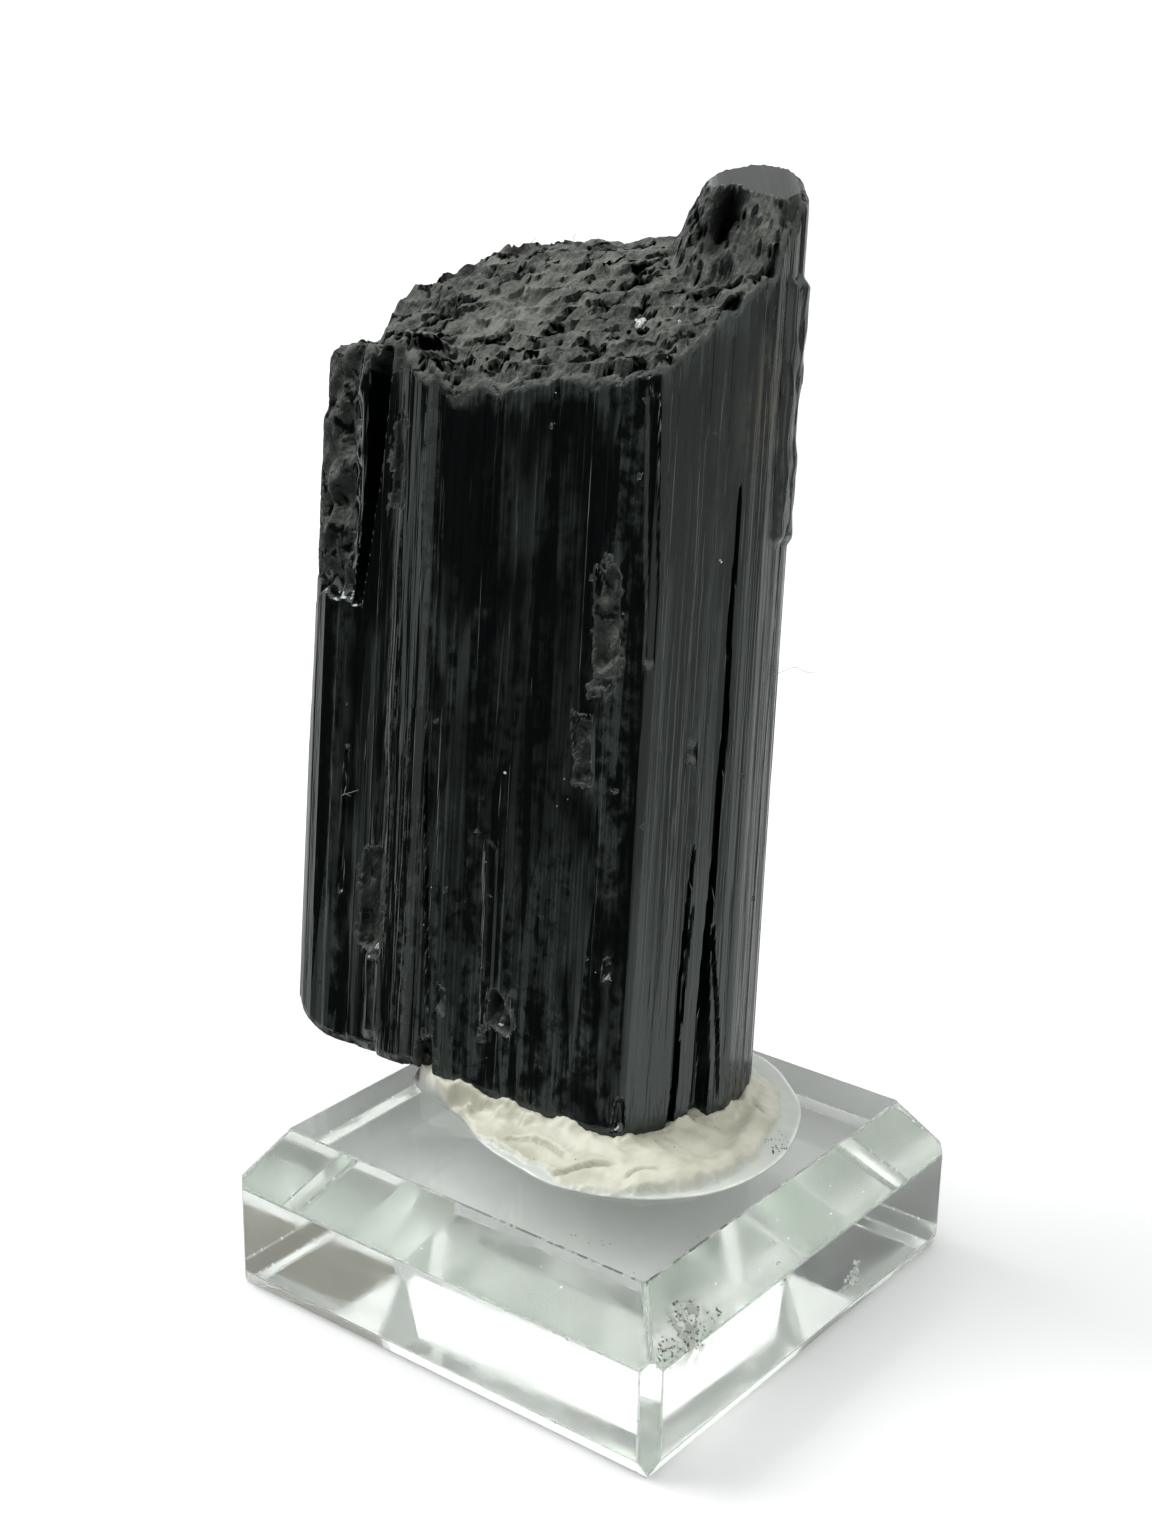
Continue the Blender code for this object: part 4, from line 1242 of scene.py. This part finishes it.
# ---------------------------------------------------------------- putty
# Cream mounting putty, pressed by hand on the block and up against the crystal's broken foot. It
# has a rolled edge at the right, folds, a torn edge at the left, and a thin film all round it.

FILM_OUTLINE = (                # on the block, anticlockwise from the left
    (-3.4, 14.6), (-5.6, 12.5), (-6.4, 9.6), (-7.1, 7.0), (-8.8, 3.9), (-9.8, -0.3), (-10.1, -4.6),
    (-7.9, -9.6), (-3.6, -13.2), (2.6, -14.1), (9.3, -11.7), (12.8, -8.4), (15.2, -4.4), (15.7, 1.5),
    (14.9, 8.0), (12.0, 13.4), (6.0, 15.4),
)
PATCH_OUTLINE = (               # the thick part's edge, within the film
    (-3.2, 14.3), (-5.4, 12.3), (-6.1, 9.6), (-6.8, 7.1), (-8.0, 5.4), (-8.4, 3.4), (-8.8, 1.6),
    (-9.1, -0.9), (-8.9, -2.2), (-9.3, -3.2), (-9.9, -4.7), (-9.0, -7.1), (-7.4, -9.4), (-5.2, -11.3),
    (-3.4, -12.1), (-1.3, -12.6), (1.4, -12.6), (4.4, -11.9), (7.4, -10.9), (9.8, -9.5),
    (11.2, -8.0), (12.6, -4.0), (13.2, 1.5), (12.6, 7.6), (10.0, 12.2), (5.6, 14.0), (1.0, 14.3),
)
PUTTY_SPACING = 0.17
PATCH_SPACING = 0.6             # along its outline
FILM_THICKNESS = 0.16
FILM_WAVES = (0.75, 0.5, 0.8, 3.0)              # least share of it, waves, how many per mm, and seed
FILM_EDGE = (0.35, 0.3)         # share of it at the edge, and the fade
FILM_BEAD = (0.05, 0.35)        # height and width of the bead round it
PATCH_EDGE = 0.38               # thickness of the torn edge
PATCH_FADE = 0.35
FULL_AT_BACK = (6.0, 3.0, 1.5)  # at the left it stays thick to its edge from here back: place, fade, much
RIM_WIDTH = 0.2                 # of the film's painted highlight along its edge, where no putty reaches it
RIM_WAVES = (0.6, 1.2, 0.5, 11.0)
RIM_CLEAR = 0.5
PUTTY_MOUND = 1.2
PUTTY_SWELL = 4.2               # width over which it thickens
FOLDS = (0.14, (1.0, 0.6), 0.55, 8.0)           # height, how they are drawn out, per mm, and seed
SWELLS = ((0.12, 0.35, 1.0), (0.06, 1.3, 2.0))
TORN = ((0.9, 0.35), (3.0, 0.14))               # waves of the torn edge: per millimetre, reach
CREST = ((-6.9, -9.0), (-5.6, -10.0), (-3.6, -11.2), (-0.6, -11.6), (3.4, -10.9), (6.6, -9.9),
         (9.2, -8.6), (10.6, -7.0))
CREST_SIZE = (0.62, 1.0)        # height and half width of the roll
VALLEY = ((-1.8, -8.6), (-0.6, -9.6), (1.4, -9.9), (4.0, -9.0), (6.8, -7.9), (8.2, -6.6))
VALLEY_SIZE = (-0.35, 1.1)
CREASES = (                     # folds: depth, then the line
    (0.36, ((-9.3, -1.8), (-9.4, -3.2), (-8.3, -4.4), (-7.2, -5.3), (-6.6, -6.6))),
    (0.26, ((-8.2, 2.6), (-7.3, 0.8), (-7.0, -1.0), (-7.5, -2.9))),
    (0.24, ((-6.4, 6.9), (-5.6, 5.4), (-5.7, 3.6))),
    (0.20, ((-7.6, -7.9), (-6.0, -8.0), (-4.6, -9.3))),
    (0.22, ((-4.2, 10.6), (-3.6, 8.8), (-3.9, 7.2))),
    (0.18, ((6.2, -10.6), (6.8, -9.1), (7.9, -8.6))),
    (0.12, ((12.4, -1.0), (11.2, 0.6), (11.0, 2.6))),
    (0.13, ((8.6, 12.2), (7.4, 11.0), (7.0, 9.2))),
)
CREASE_WIDTH = 0.3
CREASE_BENT = (0.12, 1.7)       # how far they are bent, and per mm
CREASE_LIP = 0.6
CREASE_DEEPER = 1.3
CREASE_END = 0.8
LINE_SPACING = (0.5, 0.4)       # along the roll and valley, and along the folds
FOOT_POINTS = 240               # round the crystal's foot
FOOT_STEP = 0.4                 # it is measured this far up
CREEP = (0.12, 0.75)            # how far the putty reaches up the stone, least and most
CREEP_WAVES = ((0.9, 0.6, 4.0), (0.2, 2.4, 6.0))
CREEP_WIDTH = 1.3
CREEP_SPREAD = (0.6, 0.8, 0.9, 9.0)
CREEP_LIMIT = 2.3               # it reaches no foot that is further above it
CREEP_FADES = (0.6, 1.0, 0.8)
UNDER_STONE = (0.03, 0.25, 0.5)                 # gap under the stone, how far in it begins, and fade
UNDER_PUTTY = 0.004             # gap between it and the block
PUTTY_SEED = 5.0
PUTTY_DARK = (0.44, 0.435, 0.345, 1.0)
PUTTY_LIGHT = (0.56, 0.56, 0.465, 1.0)
PUTTY_GRIME = (0.38, 0.37, 0.31, 1.0)
CREASE_SHADE_COLOR = (0.30, 0.29, 0.23, 1.0)
THIN_FILM = (0.50, 0.525, 0.485, 1.0)
RIM_HIGHLIGHT = (0.80, 0.82, 0.78, 1.0)


def curve_through(knots, spacing, closed=True):
    """Points about a spacing apart on a smooth curve through knots."""
    knots = np.array(knots, float)
    if not closed:
        knots = np.vstack([2 * knots[0] - knots[1], knots, 2 * knots[-1] - knots[-2]])
    count = len(knots)
    line = []
    for index in (range(count) if closed else range(1, count - 2)):
        before, here, after, beyond = (knots[(index + step) % count] for step in (-1, 0, 1, 2))
        pieces = max(2, round(np.linalg.norm(after - here) / spacing))
        for t in np.arange(pieces) / pieces:
            line.append(0.5 * (2 * here + (after - before) * t
                               + (2 * before - 5 * here + 4 * after - beyond) * t * t
                               + (3 * here - before - 3 * after + beyond) * t ** 3))
    if not closed:
        line.append(knots[-2])
    return np.array(line)


def distance_to(points, line):
    """Distances from points to an open line, and which side of it they are on."""
    nearest = np.full(len(points), np.inf)
    side = np.zeros(len(points))
    for start, end in zip(line[:-1], line[1:]):
        along = end - start
        part = np.clip(((points - start) @ along) / (along @ along), 0, 1)
        away = points - start - part[:, None] * along
        distance = np.linalg.norm(away, axis=1)
        closer = distance < nearest
        nearest[closer] = distance[closer]
        side[closer] = np.sign(along[0] * away[closer, 1] - along[1] * away[closer, 0])
    return nearest, side


def waves(points, per_mm, seed):
    return noise_at(np.column_stack([points * per_mm, np.full(len(points), seed)]))


def on_block(crystal_points):
    """Points of the crystal's frame as points of the block's."""
    turn = np.array(STANCE.to_3x3())
    return crystal_points @ turn.T + np.array(STANCE.translation)


def foot_over(points):
    """Level of the crystal's foot over points of the block."""
    into = np.array(STANCE.inverted().to_3x3())
    lifted = np.column_stack([points, np.full(len(points), FOOT_LEVEL + 0.5)])
    section_points = ((lifted - np.array(STANCE.translation)) @ into.T)[:, :2]
    heights = foot_height(section_points)
    return on_block(np.column_stack([section_points, heights]))[:, 2]


foot_girths = GIRTH * np.arange(FOOT_POINTS) / FOOT_POINTS
foot_level = foot_height(section_point(foot_girths)) + FOOT_STEP
foot_edge = side_place(foot_girths, foot_level)
foot_line = on_block(np.column_stack([foot_edge, foot_height(foot_edge) + FOOT_STEP]))[:, :2]
film_line = curve_through(FILM_OUTLINE, PUTTY_SPACING)
patch_line = curve_through(PATCH_OUTLINE, PATCH_SPACING)


def rolled(points, mound):
    """The roll, the valley behind it and broad folds, on top of the mound."""
    for line, (height, width) in ((CREST, CREST_SIZE), (VALLEY, VALLEY_SIZE)):
        away, _ = distance_to(points, curve_through(line, LINE_SPACING[0], closed=False))
        mound = mound + height * np.exp(-(away / width) ** 2)
    height, drawn, per_mm, seed = FOLDS
    mound = mound + height * (1 - 2 * np.abs(waves(points * drawn, per_mm, seed)))
    for height, per_mm, seed in SWELLS:
        mound = mound + height * waves(points, per_mm, seed)
    return mound


def creased(points, mound):
    """Creases with a lip at one side, and how deep in one each point is, which sets the painted shade in
    them.
    """
    crease_shade = np.zeros(len(points))
    for depth, line in CREASES:
        reach, per_mm = CREASE_BENT
        bent = points + reach * waves(points, per_mm, depth * 50)[:, None]
        away, side = distance_to(bent, curve_through(line, LINE_SPACING[1], closed=False))
        ends = np.array(line)[[0, -1]]
        fade = smooth(np.linalg.norm(points[:, None] - ends, axis=2).min(1) / CREASE_END)
        lip = np.where(side > 0, np.exp(-(away / CREASE_WIDTH / 2) ** 2) * CREASE_LIP, 0.0)
        groove = fade * np.exp(-(away / (CREASE_WIDTH / 2)) ** 2)
        mound = mound + depth * CREASE_DEEPER * (fade * lip - groove)
        crease_shade = np.maximum(crease_shade, groove)
    return mound, crease_shade


def film_over(points, inside):
    least, by_waves, per_mm, seed = FILM_WAVES
    film = FILM_THICKNESS * (least + by_waves * waves(points, per_mm, seed))
    share, fade = FILM_EDGE
    bead, width = FILM_BEAD
    return film * (share + (1 - share) * smooth(inside / fade)) + bead * smooth(1 - inside / width)


def putty_top(points):
    """Levels of the putty's top over points of the block, where it is only a film, how deep in a crease
    it is, which gets painted shade, and where the film's edge gets a painted highlight."""
    inside = distance_inside(points, film_line)
    patch = distance_inside(points, patch_line)
    for per_mm, reach in TORN:
        patch = patch + reach * waves(points, per_mm, PUTTY_SEED)
    back, fade, much = FULL_AT_BACK
    at_back = much * smooth((points[:, 1] - back) / fade) * (points[:, 0] < 0.0)
    thick = smooth(patch / PATCH_FADE + 0.5 + at_back)
    film = film_over(points, inside)
    mound = PATCH_EDGE + (PUTTY_MOUND - PATCH_EDGE) * smooth(patch / PUTTY_SWELL)
    mound, crease_shade = creased(points, rolled(points, mound))
    level = block_high.z / MM + film + (np.maximum(mound, film) - film) * thick

    # It creeps up the stone beside its foot, and lies just under it beneath
    foot = foot_over(points)
    clear = -distance_inside(points, foot_line)
    (broad, per_mm, seed), fine_waves = CREEP_WAVES
    reach = CREEP[0] + (CREEP[1] - CREEP[0]) * smooth(0.5 + broad * waves(points, per_mm, seed))
    reach = reach + fine_waves[0] * waves(points, *fine_waves[1:])
    limit_fade, past_patch, patch_fade = CREEP_FADES
    near = smooth((CREEP_LIMIT - (foot - level)) / limit_fade) * smooth((patch + past_patch) / patch_fade)
    contact = np.maximum(level, foot + reach * near)
    least, by_waves, per_mm, seed = CREEP_SPREAD
    spread = CREEP_WIDTH * (least + by_waves * smooth(0.5 + waves(points, per_mm, seed)))
    touched = level + (contact - level) * smooth(1 - clear / spread) ** 2 * near
    gap, begins, fade = UNDER_STONE
    under = np.minimum(level, foot - gap)
    level = touched + (under - touched) * smooth((-clear - begins) / fade)
    # A painted highlight along the film's edge
    least, by_waves, per_mm, seed = RIM_WAVES
    rim = smooth(1.3 - inside / RIM_WIDTH) * smooth(least + by_waves * waves(points, per_mm, seed))
    rim = rim * smooth((-patch - PATCH_EDGE) / RIM_CLEAR)
    return level, 1 - thick, crease_shade * thick, rim


def putty_shape():
    inner = filling(film_line, PUTTY_SPACING)
    plan = np.vstack([film_line, inner])
    levels, thin, crease_shade, rim = putty_top(plan)
    count = len(film_line)
    start = len(plan)
    low = np.column_stack([film_line, np.full(count, block_high.z / MM + UNDER_PUTTY)])
    faces = flat_faces(film_line, inner)
    for index in range(count):
        after = (index + 1) % count
        faces.append((start + index, start + after, after, index))
    faces.append(range(start + count - 1, start - 1, -1))
    mesh = bpy.data.meshes.new("putty")
    mesh.from_pydata((np.vstack([np.column_stack([plan, levels]), low]) * MM).tolist(), [], faces)
    # The film's side wall gets the painted highlight all over
    keep_values(mesh, film=np.append(thin, np.ones(count)), crease=np.append(crease_shade, np.zeros(count)),
                rim=np.append(rim, np.ones(count)))
    return mesh


def cream_putty():
    material, tree, shader = new_material("cream_putty", IOR=1.48, Metallic=0.0)
    film, crease, rim = (stored_value(tree, name) for name in ("film", "crease", "rim"))
    place = place_on(tree)
    broad = cloudy(tree, place, 260.0, 3.0, 0.6)
    fine = cloudy(tree, place, 2200.0, 5.0, 0.65)
    body = mix_color(tree, ramp(tree, broad, 0.35, 0.65), PUTTY_DARK, PUTTY_LIGHT)
    grime = use_group(tree, dust, Cloud_Size=0.003, Speck_Size=0.0003, Cover=0.36, Seed=2.0)
    # Grime specks; painted shade in the creases; the grey film; a painted highlight along the film's edge
    for part, color in ((times(tree, grime.outputs["Mask"], 0.4), PUTTY_GRIME),
                        (times(tree, crease, 0.7), CREASE_SHADE_COLOR), (film, THIN_FILM), (rim, RIM_HIGHLIGHT)):
        body = mix_color(tree, part, body, color)
    tree.links.new(body, shader.inputs["Base Color"])
    tree.links.new(ramp(tree, broad, 0.3, 0.7, 0.38, 0.55), shader.inputs["Roughness"])
    height = part_of(tree, broad, 0.5, times(tree, fine, 0.12))
    bump = node(tree, "ShaderNodeBump", None, {"Strength": 0.8, "Distance": 0.0003, "Height": height})
    tree.links.new(bump.outputs["Normal"], shader.inputs["Normal"])
    return material


putty_mesh = putty_shape()
putty_mesh.materials.append(cream_putty())
putty_mesh.shade_smooth()
putty = in_scene("putty", putty_mesh)
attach(putty, "root")
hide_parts("mounting_putty")


# ---------------------------------------------------------------- grit
# Grit broken off the crystal, some pressed into the putty and some smeared over the glass, and
# pale crumbs of putty and dust that settled on both. They lie where they fell.

# Which piece they lie on, where on the block, how far about, how many per square millimetre, sizes
GRIT = (
    (putty, (3.7, -13.4, 12.6), 1.1, 6.0, (0.03, 0.09)),
    (putty, (4.6, -12.4, 12.7), 1.3, 4.0, (0.02, 0.06)),
    (putty, (6.0, -12.9, 12.6), 2.0, 1.5, (0.02, 0.05)),
    (putty, (-2.4, -7.6, 13.7), 1.4, 3.0, (0.02, 0.06)),
    (putty, (2.6, -8.0, 13.6), 2.4, 1.2, (0.02, 0.06)),
    (putty, (-8.6, -2.0, 13.0), 3.0, 0.4, (0.02, 0.05)),
    (block, (-14.35, -18.3, 9.3), 2.3, 10.0, (0.02, 0.10)),
    (block, (-12.6, -18.7, 8.8), 1.4, 4.0, (0.02, 0.07)),
    (block, (-10.99, -18.6, 8.85), 0.45, 14.0, (0.06, 0.13)),
    (block, (-17.1, -18.5, 8.95), 1.4, 14.0, (0.02, 0.09)),
    (block, (-4.0, -19.05, 8.0), 0.5, 12.0, (0.03, 0.10)),
    (block, (-1.0, -19.0, 8.0), 2.2, 2.0, (0.02, 0.06)),
    (block, (-12.5, -12.5, 12.5), 6.0, 0.25, (0.02, 0.05)),
    (block, (-14.5, -10.5, 12.5), 2.0, 0.5, (0.02, 0.05)),
)
PALE_CRUMBS = (
    (crystal, (10.49, 5.69, 68.72), 0.42, 12.0, (0.18, 0.34)),
    (crystal, (10.14, 1.83, 69.18), 0.3, 14.0, (0.10, 0.18)),
    (crystal, (4.0, 6.0, 70.0), 12.0, 0.05, (0.03, 0.07)),
    (crystal, (-1.06, 8.2, 37.7), 0.3, 16.0, (0.05, 0.09)),
    (crystal, (6.8, -2.2, 54.8), 0.25, 20.0, (0.05, 0.09)),
    (crystal, (8.6, -3.2, 53.3), 0.25, 20.0, (0.05, 0.09)),
    (crystal, (-4.3, 5.9, 19.6), 0.3, 20.0, (0.05, 0.10)),
    (crystal, (0.0, 5.0, 30.0), 16.0, 0.02, (0.02, 0.05)),
    (block, (-3.4, -17.7, 10.1), 0.3, 20.0, (0.06, 0.10)),
    (block, (-3.8, -18.4, 9.1), 0.3, 20.0, (0.05, 0.09)),
    (block, (5.4, -19.05, 3.8), 1.5, 8.0, (0.05, 0.21)),
    (block, (-4.0, -10.0, 10.0), 20.0, 0.12, (0.015, 0.04)),
)
GRIT_SEED = 4
LUMPY_GRIT = (1.1, 2.4)         # lumps of its outline: per radius, height


def scatter_tree():
    """Little stones strewn over a surface about a place, but none under it."""
    tree, source, result = geometry_tree("scattered", [
        ("Place", "NodeSocketVector"), ("Reach", "NodeSocketFloat"), ("Density", "NodeSocketFloat"),
        ("Smallest", "NodeSocketFloat"), ("Largest", "NodeSocketFloat"), ("Seed", "NodeSocketInt"),
        ("Material", "NodeSocketMaterial")])
    away = vector_node(tree, "DISTANCE", node(tree, "GeometryNodeInputPosition").outputs[0],
                       source.outputs["Place"])
    away = math_node(tree, "DIVIDE", away, source.outputs["Reach"])
    spread = node(tree, "GeometryNodeDistributePointsOnFaces", None,
                  {"Mesh": source.outputs["Geometry"], "Density": source.outputs["Density"],
                   "Seed": source.outputs["Seed"]})
    upward = height_of(tree, spread.outputs["Normal"])
    chance = times(tree, ramp(tree, away, 0.3, 1.0, 1.0, 0.0), ramp(tree, upward, -0.4, -0.1))
    chosen = draw_lots(tree, source, chance)
    stones = small_stones(tree, source, spread.outputs["Points"], chosen, LUMPY_GRIT)
    return finish_tree(tree, source, result, stones)


def strewn(name, patches, tree, material):
    """One piece of all the little stones in a list of patches."""
    bm = bmesh.new()
    for index, (surface, place, reach, per_square, (smallest, largest)) in enumerate(patches):
        copy = in_scene("surface", surface.data.copy())
        apply_tree(copy, tree, Place=Vector(place) * MM, Reach=reach * MM, Density=per_square / MM / MM,
                   Smallest=smallest * MM, Largest=largest * MM, Seed=GRIT_SEED + index,
                   Material=material)
        bm.from_mesh(copy.data)
        bpy.data.objects.remove(copy)
    mesh = bpy.data.meshes.new(name)
    bm.to_mesh(mesh)
    bm.free()
    mesh.materials.clear()
    mesh.materials.append(material)
    made = in_scene(name, mesh)
    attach(made, "root")
    return made


def speckled(name, specks, tones, dark, light, **sockets):
    """A plain finish, from dark to light in specks: how many per metre, and their detail."""
    material, tree, shader = new_material(name, **sockets)
    tone = ramp(tree, cloudy(tree, place_on(tree), *specks), *tones)
    tree.links.new(mix_color(tree, tone, dark, light), shader.inputs["Base Color"])
    return material


grit_stone = speckled("tourmaline_grit", (9000.0, 3.0), (0.35, 0.7), (0.004, 0.005, 0.005, 1.0),
                      (0.06, 0.06, 0.05, 1.0), IOR=STONE_IOR, Roughness=0.35)
pale_dust = speckled("pale_crumbs", (6000.0, 3.0), (0.35, 0.7), (0.42, 0.45, 0.42, 1.0),
                     (0.74, 0.76, 0.72, 1.0), IOR=1.45, Roughness=0.6)
scattered = scatter_tree()
strewn("tourmaline_grit", GRIT, scattered, grit_stone)
strewn("pale_crumbs", PALE_CRUMBS, scattered, pale_dust)


# ---------------------------------------------------------------- lint
# Hairs and fibres of cloth caught on the crystal's rough parts. Each is a thin curled thread whose
# one end sticks to the stone.

LINT = (                        # ends and middle of each fibre
    ((12.9, -4.9, 44.3), (14.2, -5.9, 44.7), (15.3, -7.1, 44.4)),
    ((-3.3, 22.0, 33.4), (-4.3, 21.2, 33.7), (-3.9, 20.0, 34.2)),
    ((-4.1, 20.9, 34.4), (-4.4, 20.8, 34.0), (-4.2, 20.4, 33.7)),
    ((16.9, 20.6, 71.5), (16.8, 20.9, 72.2), (17.2, 20.6, 72.8)),
    ((18.2, 17.6, 72.0), (18.5, 17.9, 72.7), (18.0, 17.4, 73.2)),
    ((12.2, 13.0, 69.2), (11.4, 12.6, 69.9), (11.7, 13.1, 70.8)),
)
LINT_RADIUS = 0.018
LINT_CURL = 0.64                # twice the farthest that it can be bent aside
LINT_BENDS = 900.0              # per metre
LINT_POINTS = 40


def lint_tree():
    """Round threads along lines, each resampled and curled at random."""
    tree, source, result = geometry_tree("lint", [
        ("Radius", "NodeSocketFloat"), ("Curl", "NodeSocketFloat"), ("Seed", "NodeSocketFloat"),
        ("Material", "NodeSocketMaterial")])
    line = node(tree, "GeometryNodeMeshToCurve", None, {"Mesh": source.outputs["Geometry"]})
    fine = node(tree, "GeometryNodeResampleCurve", {"mode": "COUNT"},
                {"Curve": line.outputs["Curve"], "Count": LINT_POINTS})
    drift = node(tree, "ShaderNodeTexNoise", {"noise_dimensions": "4D"},
                 {"Vector": node(tree, "GeometryNodeInputPosition").outputs[0],
                  "W": source.outputs["Seed"], "Scale": LINT_BENDS, "Detail": 1.0})
    centred = vector_node(tree, "SUBTRACT", drift.outputs["Color"], (0.5, 0.5, 0.5))
    curled = node(tree, "GeometryNodeSetPosition", None,
                  {"Geometry": fine.outputs["Curve"],
                   "Offset": vector_node(tree, "SCALE", centred, Scale=source.outputs["Curl"])})
    profile = node(tree, "GeometryNodeCurvePrimitiveCircle", None,
                   {"Resolution": 6, "Radius": source.outputs["Radius"]})
    thread = node(tree, "GeometryNodeCurveToMesh", None,
                  {"Curve": curled.outputs["Geometry"], "Profile Curve": profile.outputs["Curve"],
                   "Fill Caps": True})
    return finish_tree(tree, source, result, thread.outputs["Mesh"])


lint_points = []
lint_edges = []
for knots in LINT:
    line = curve_through(knots, 0.1, closed=False)
    start = len(lint_points)
    lint_points += (line * MM).tolist()
    lint_edges += [(start + index, start + index + 1) for index in range(len(line) - 1)]
lint_mesh = bpy.data.meshes.new("lint")
lint_mesh.from_pydata(lint_points, lint_edges, [])
lint = in_scene("lint", lint_mesh)
lint_fibre = speckled("lint", (2500.0, 2.0), (0.4, 0.6), (0.13, 0.14, 0.13, 1.0),
                      (0.34, 0.35, 0.32, 1.0), IOR=1.5, Roughness=0.5)
apply_tree(lint, lint_tree(), Radius=LINT_RADIUS * MM, Curl=LINT_CURL * MM, Seed=1.0,
           Material=lint_fibre)
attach(lint, "root")


# ---------------------------------------------------------------- floor, light and camera
# White paper laid flat, in a room that is bright overhead and dim in front, with one broad soft
# window. The stone and the glass mirror the room's darker parts.

# Corners of the paper in metres, away from the camera and to its left. It stops short at the near
# left, where the crystal's front faces would mirror it.
PAPER = ((-0.13, -1.6), (1.6, -1.6), (1.6, 1.6), (0.02, 1.6), (0.0, 0.06), (-0.13, 0.06))
PAPER_LEVEL = -0.00002
VIEW = Matrix.Rotation(math.radians(37.65), 3, "Z")     # turns +X to point away from the camera
PAPER_LIGHT_TONES = (0.3, 1.3, 0.785, 0.94)           # painted light: it is lighter away from the block, where more light falls: metres, tones

# The room: how high its walls go and where the light overhead begins, as sines, then how much that
# light adds to the ceiling, and the way its dimmer far part lies
WALL_TOP = (0.33, 0.43)
OVERHEAD = (0.45, 0.8)
OVERHEAD_LIGHT = 0.55
CEILING = 0.9
FAR_CEILING = ((0.75, 0.49, 0.45), (0.55, 0.85), -0.4)
# Parts that are lighter or darker: the way each lies, cosines between which it begins, how much it
# changes, and whether it ends where the wall does
ROOM_PARTS = (
    ((0.80, 0.60, 0.1), (0.55, 0.9), 0.35, True),       # backdrop
    ((-0.80, -0.60, 0.0), (-0.3, 0.5), -0.5, True),     # dim side
    ((-0.93, 0.36, 0.06), (0.70, 0.92), -0.93, False),  # doorway
    ((0.80, -0.60, 0.15), (0.80, 0.95), -0.8, True),    # cupboard
)
BACKGROUND = 1.05
ROOM_WHITE = (0.99, 1.0, 1.0, 1.0)
CUPBOARD_COLOR = (1.0, 0.93, 0.74, 1.0)

paper_mesh = bpy.data.meshes.new("floor")
paper_mesh.from_pydata([VIEW @ Vector((away, left, PAPER_LEVEL)) for away, left in PAPER], [],
                       [tuple(range(len(PAPER)))])
floor = in_scene("floor", paper_mesh)
paper, paper_tree, paper_shader = new_material("white_paper", Roughness=0.7)
on_paper = place_on(paper_tree)
fibres = cloudy(paper_tree, on_paper, 900.0, 3.0)
# Painted light: the paper is darker near the block and lighter away from it
paper_light = ramp(paper_tree, vector_node(paper_tree, "LENGTH", on_paper), *PAPER_LIGHT_TONES)
paper_tree.links.new(part_of(paper_tree, fibres, 0.01, paper_light), paper_shader.inputs["Base Color"])
paper_mesh.materials.append(paper)

world = bpy.data.worlds.new("room")
world.use_nodes = True
room = world.node_tree
sky = room.nodes["Background"]
direction = node(room, "ShaderNodeTexCoord").outputs["Generated"]


def toward(heading, begins):
    """1 where a ray goes the way of a heading, 0 well off it."""
    cosine = vector_node(room, "DOT_PRODUCT", direction, Vector(heading).normalized())
    return ramp(room, cosine, *begins)


up = height_of(room, direction)
wall = ramp(room, up, *WALL_TOP, 1.0, 0.0)
heading, begins, change = FAR_CEILING
ceiling = part_of(room, toward(heading, begins), change, CEILING)
bright = part_of(room, wall, less(room, 1.0, ceiling), ceiling)
bright = part_of(room, ramp(room, up, *OVERHEAD), OVERHEAD_LIGHT, bright)
for heading, begins, change, on_wall in ROOM_PARTS:
    part = toward(heading, begins)
    if on_wall:
        part = times(room, part, wall)
    bright = times(room, bright, part_of(room, part, change, 1.0))
cupboard = part
seen = node(room, "ShaderNodeLightPath").outputs["Is Camera Ray"]
bright = node(room, "ShaderNodeMix", None, {0: seen, 2: bright, 3: BACKGROUND}).outputs[0]
room.links.new(bright, sky.inputs["Strength"])
tint = times(room, cupboard, less(room, 1.0, seen))
room.links.new(mix_color(room, tint, ROOM_WHITE, CUPBOARD_COLOR), sky.inputs["Color"])
bpy.context.scene.world = world

window = bpy.data.lights.new("window", "AREA")
window.energy = 9.5
window.shape = "SQUARE"
window.size = 0.6
lamp = in_scene("window", window)
lamp.location = (-0.25, 0.75, 0.85)
lamp.rotation_euler = (Vector((0, 0, 0.03)) - lamp.location).to_track_quat("-Z", "Y").to_euler()

PICTURE_HEIGHT = 1536
FOCAL_PIXELS = 2300
SENSOR = 36.0
lens = bpy.data.cameras.new("camera")
lens.sensor_width = SENSOR
lens.lens = FOCAL_PIXELS / PICTURE_HEIGHT * SENSOR
lens.clip_start = 0.01
camera = in_scene("camera", lens)
camera.location = Vector((-120.609, -90.415, 94.179)) * MM
camera.rotation_euler = [math.radians(angle) for angle in (70.0965, -0.8752, -52.0368)]
bpy.context.scene.camera = camera
bpy.context.scene.view_settings.view_transform = "Standard"

# Light caught in the block turns back and forth many times before it leaves
paths = bpy.context.scene.cycles
paths.max_bounces = 32
paths.transmission_bounces = 32
paths.glossy_bounces = 20
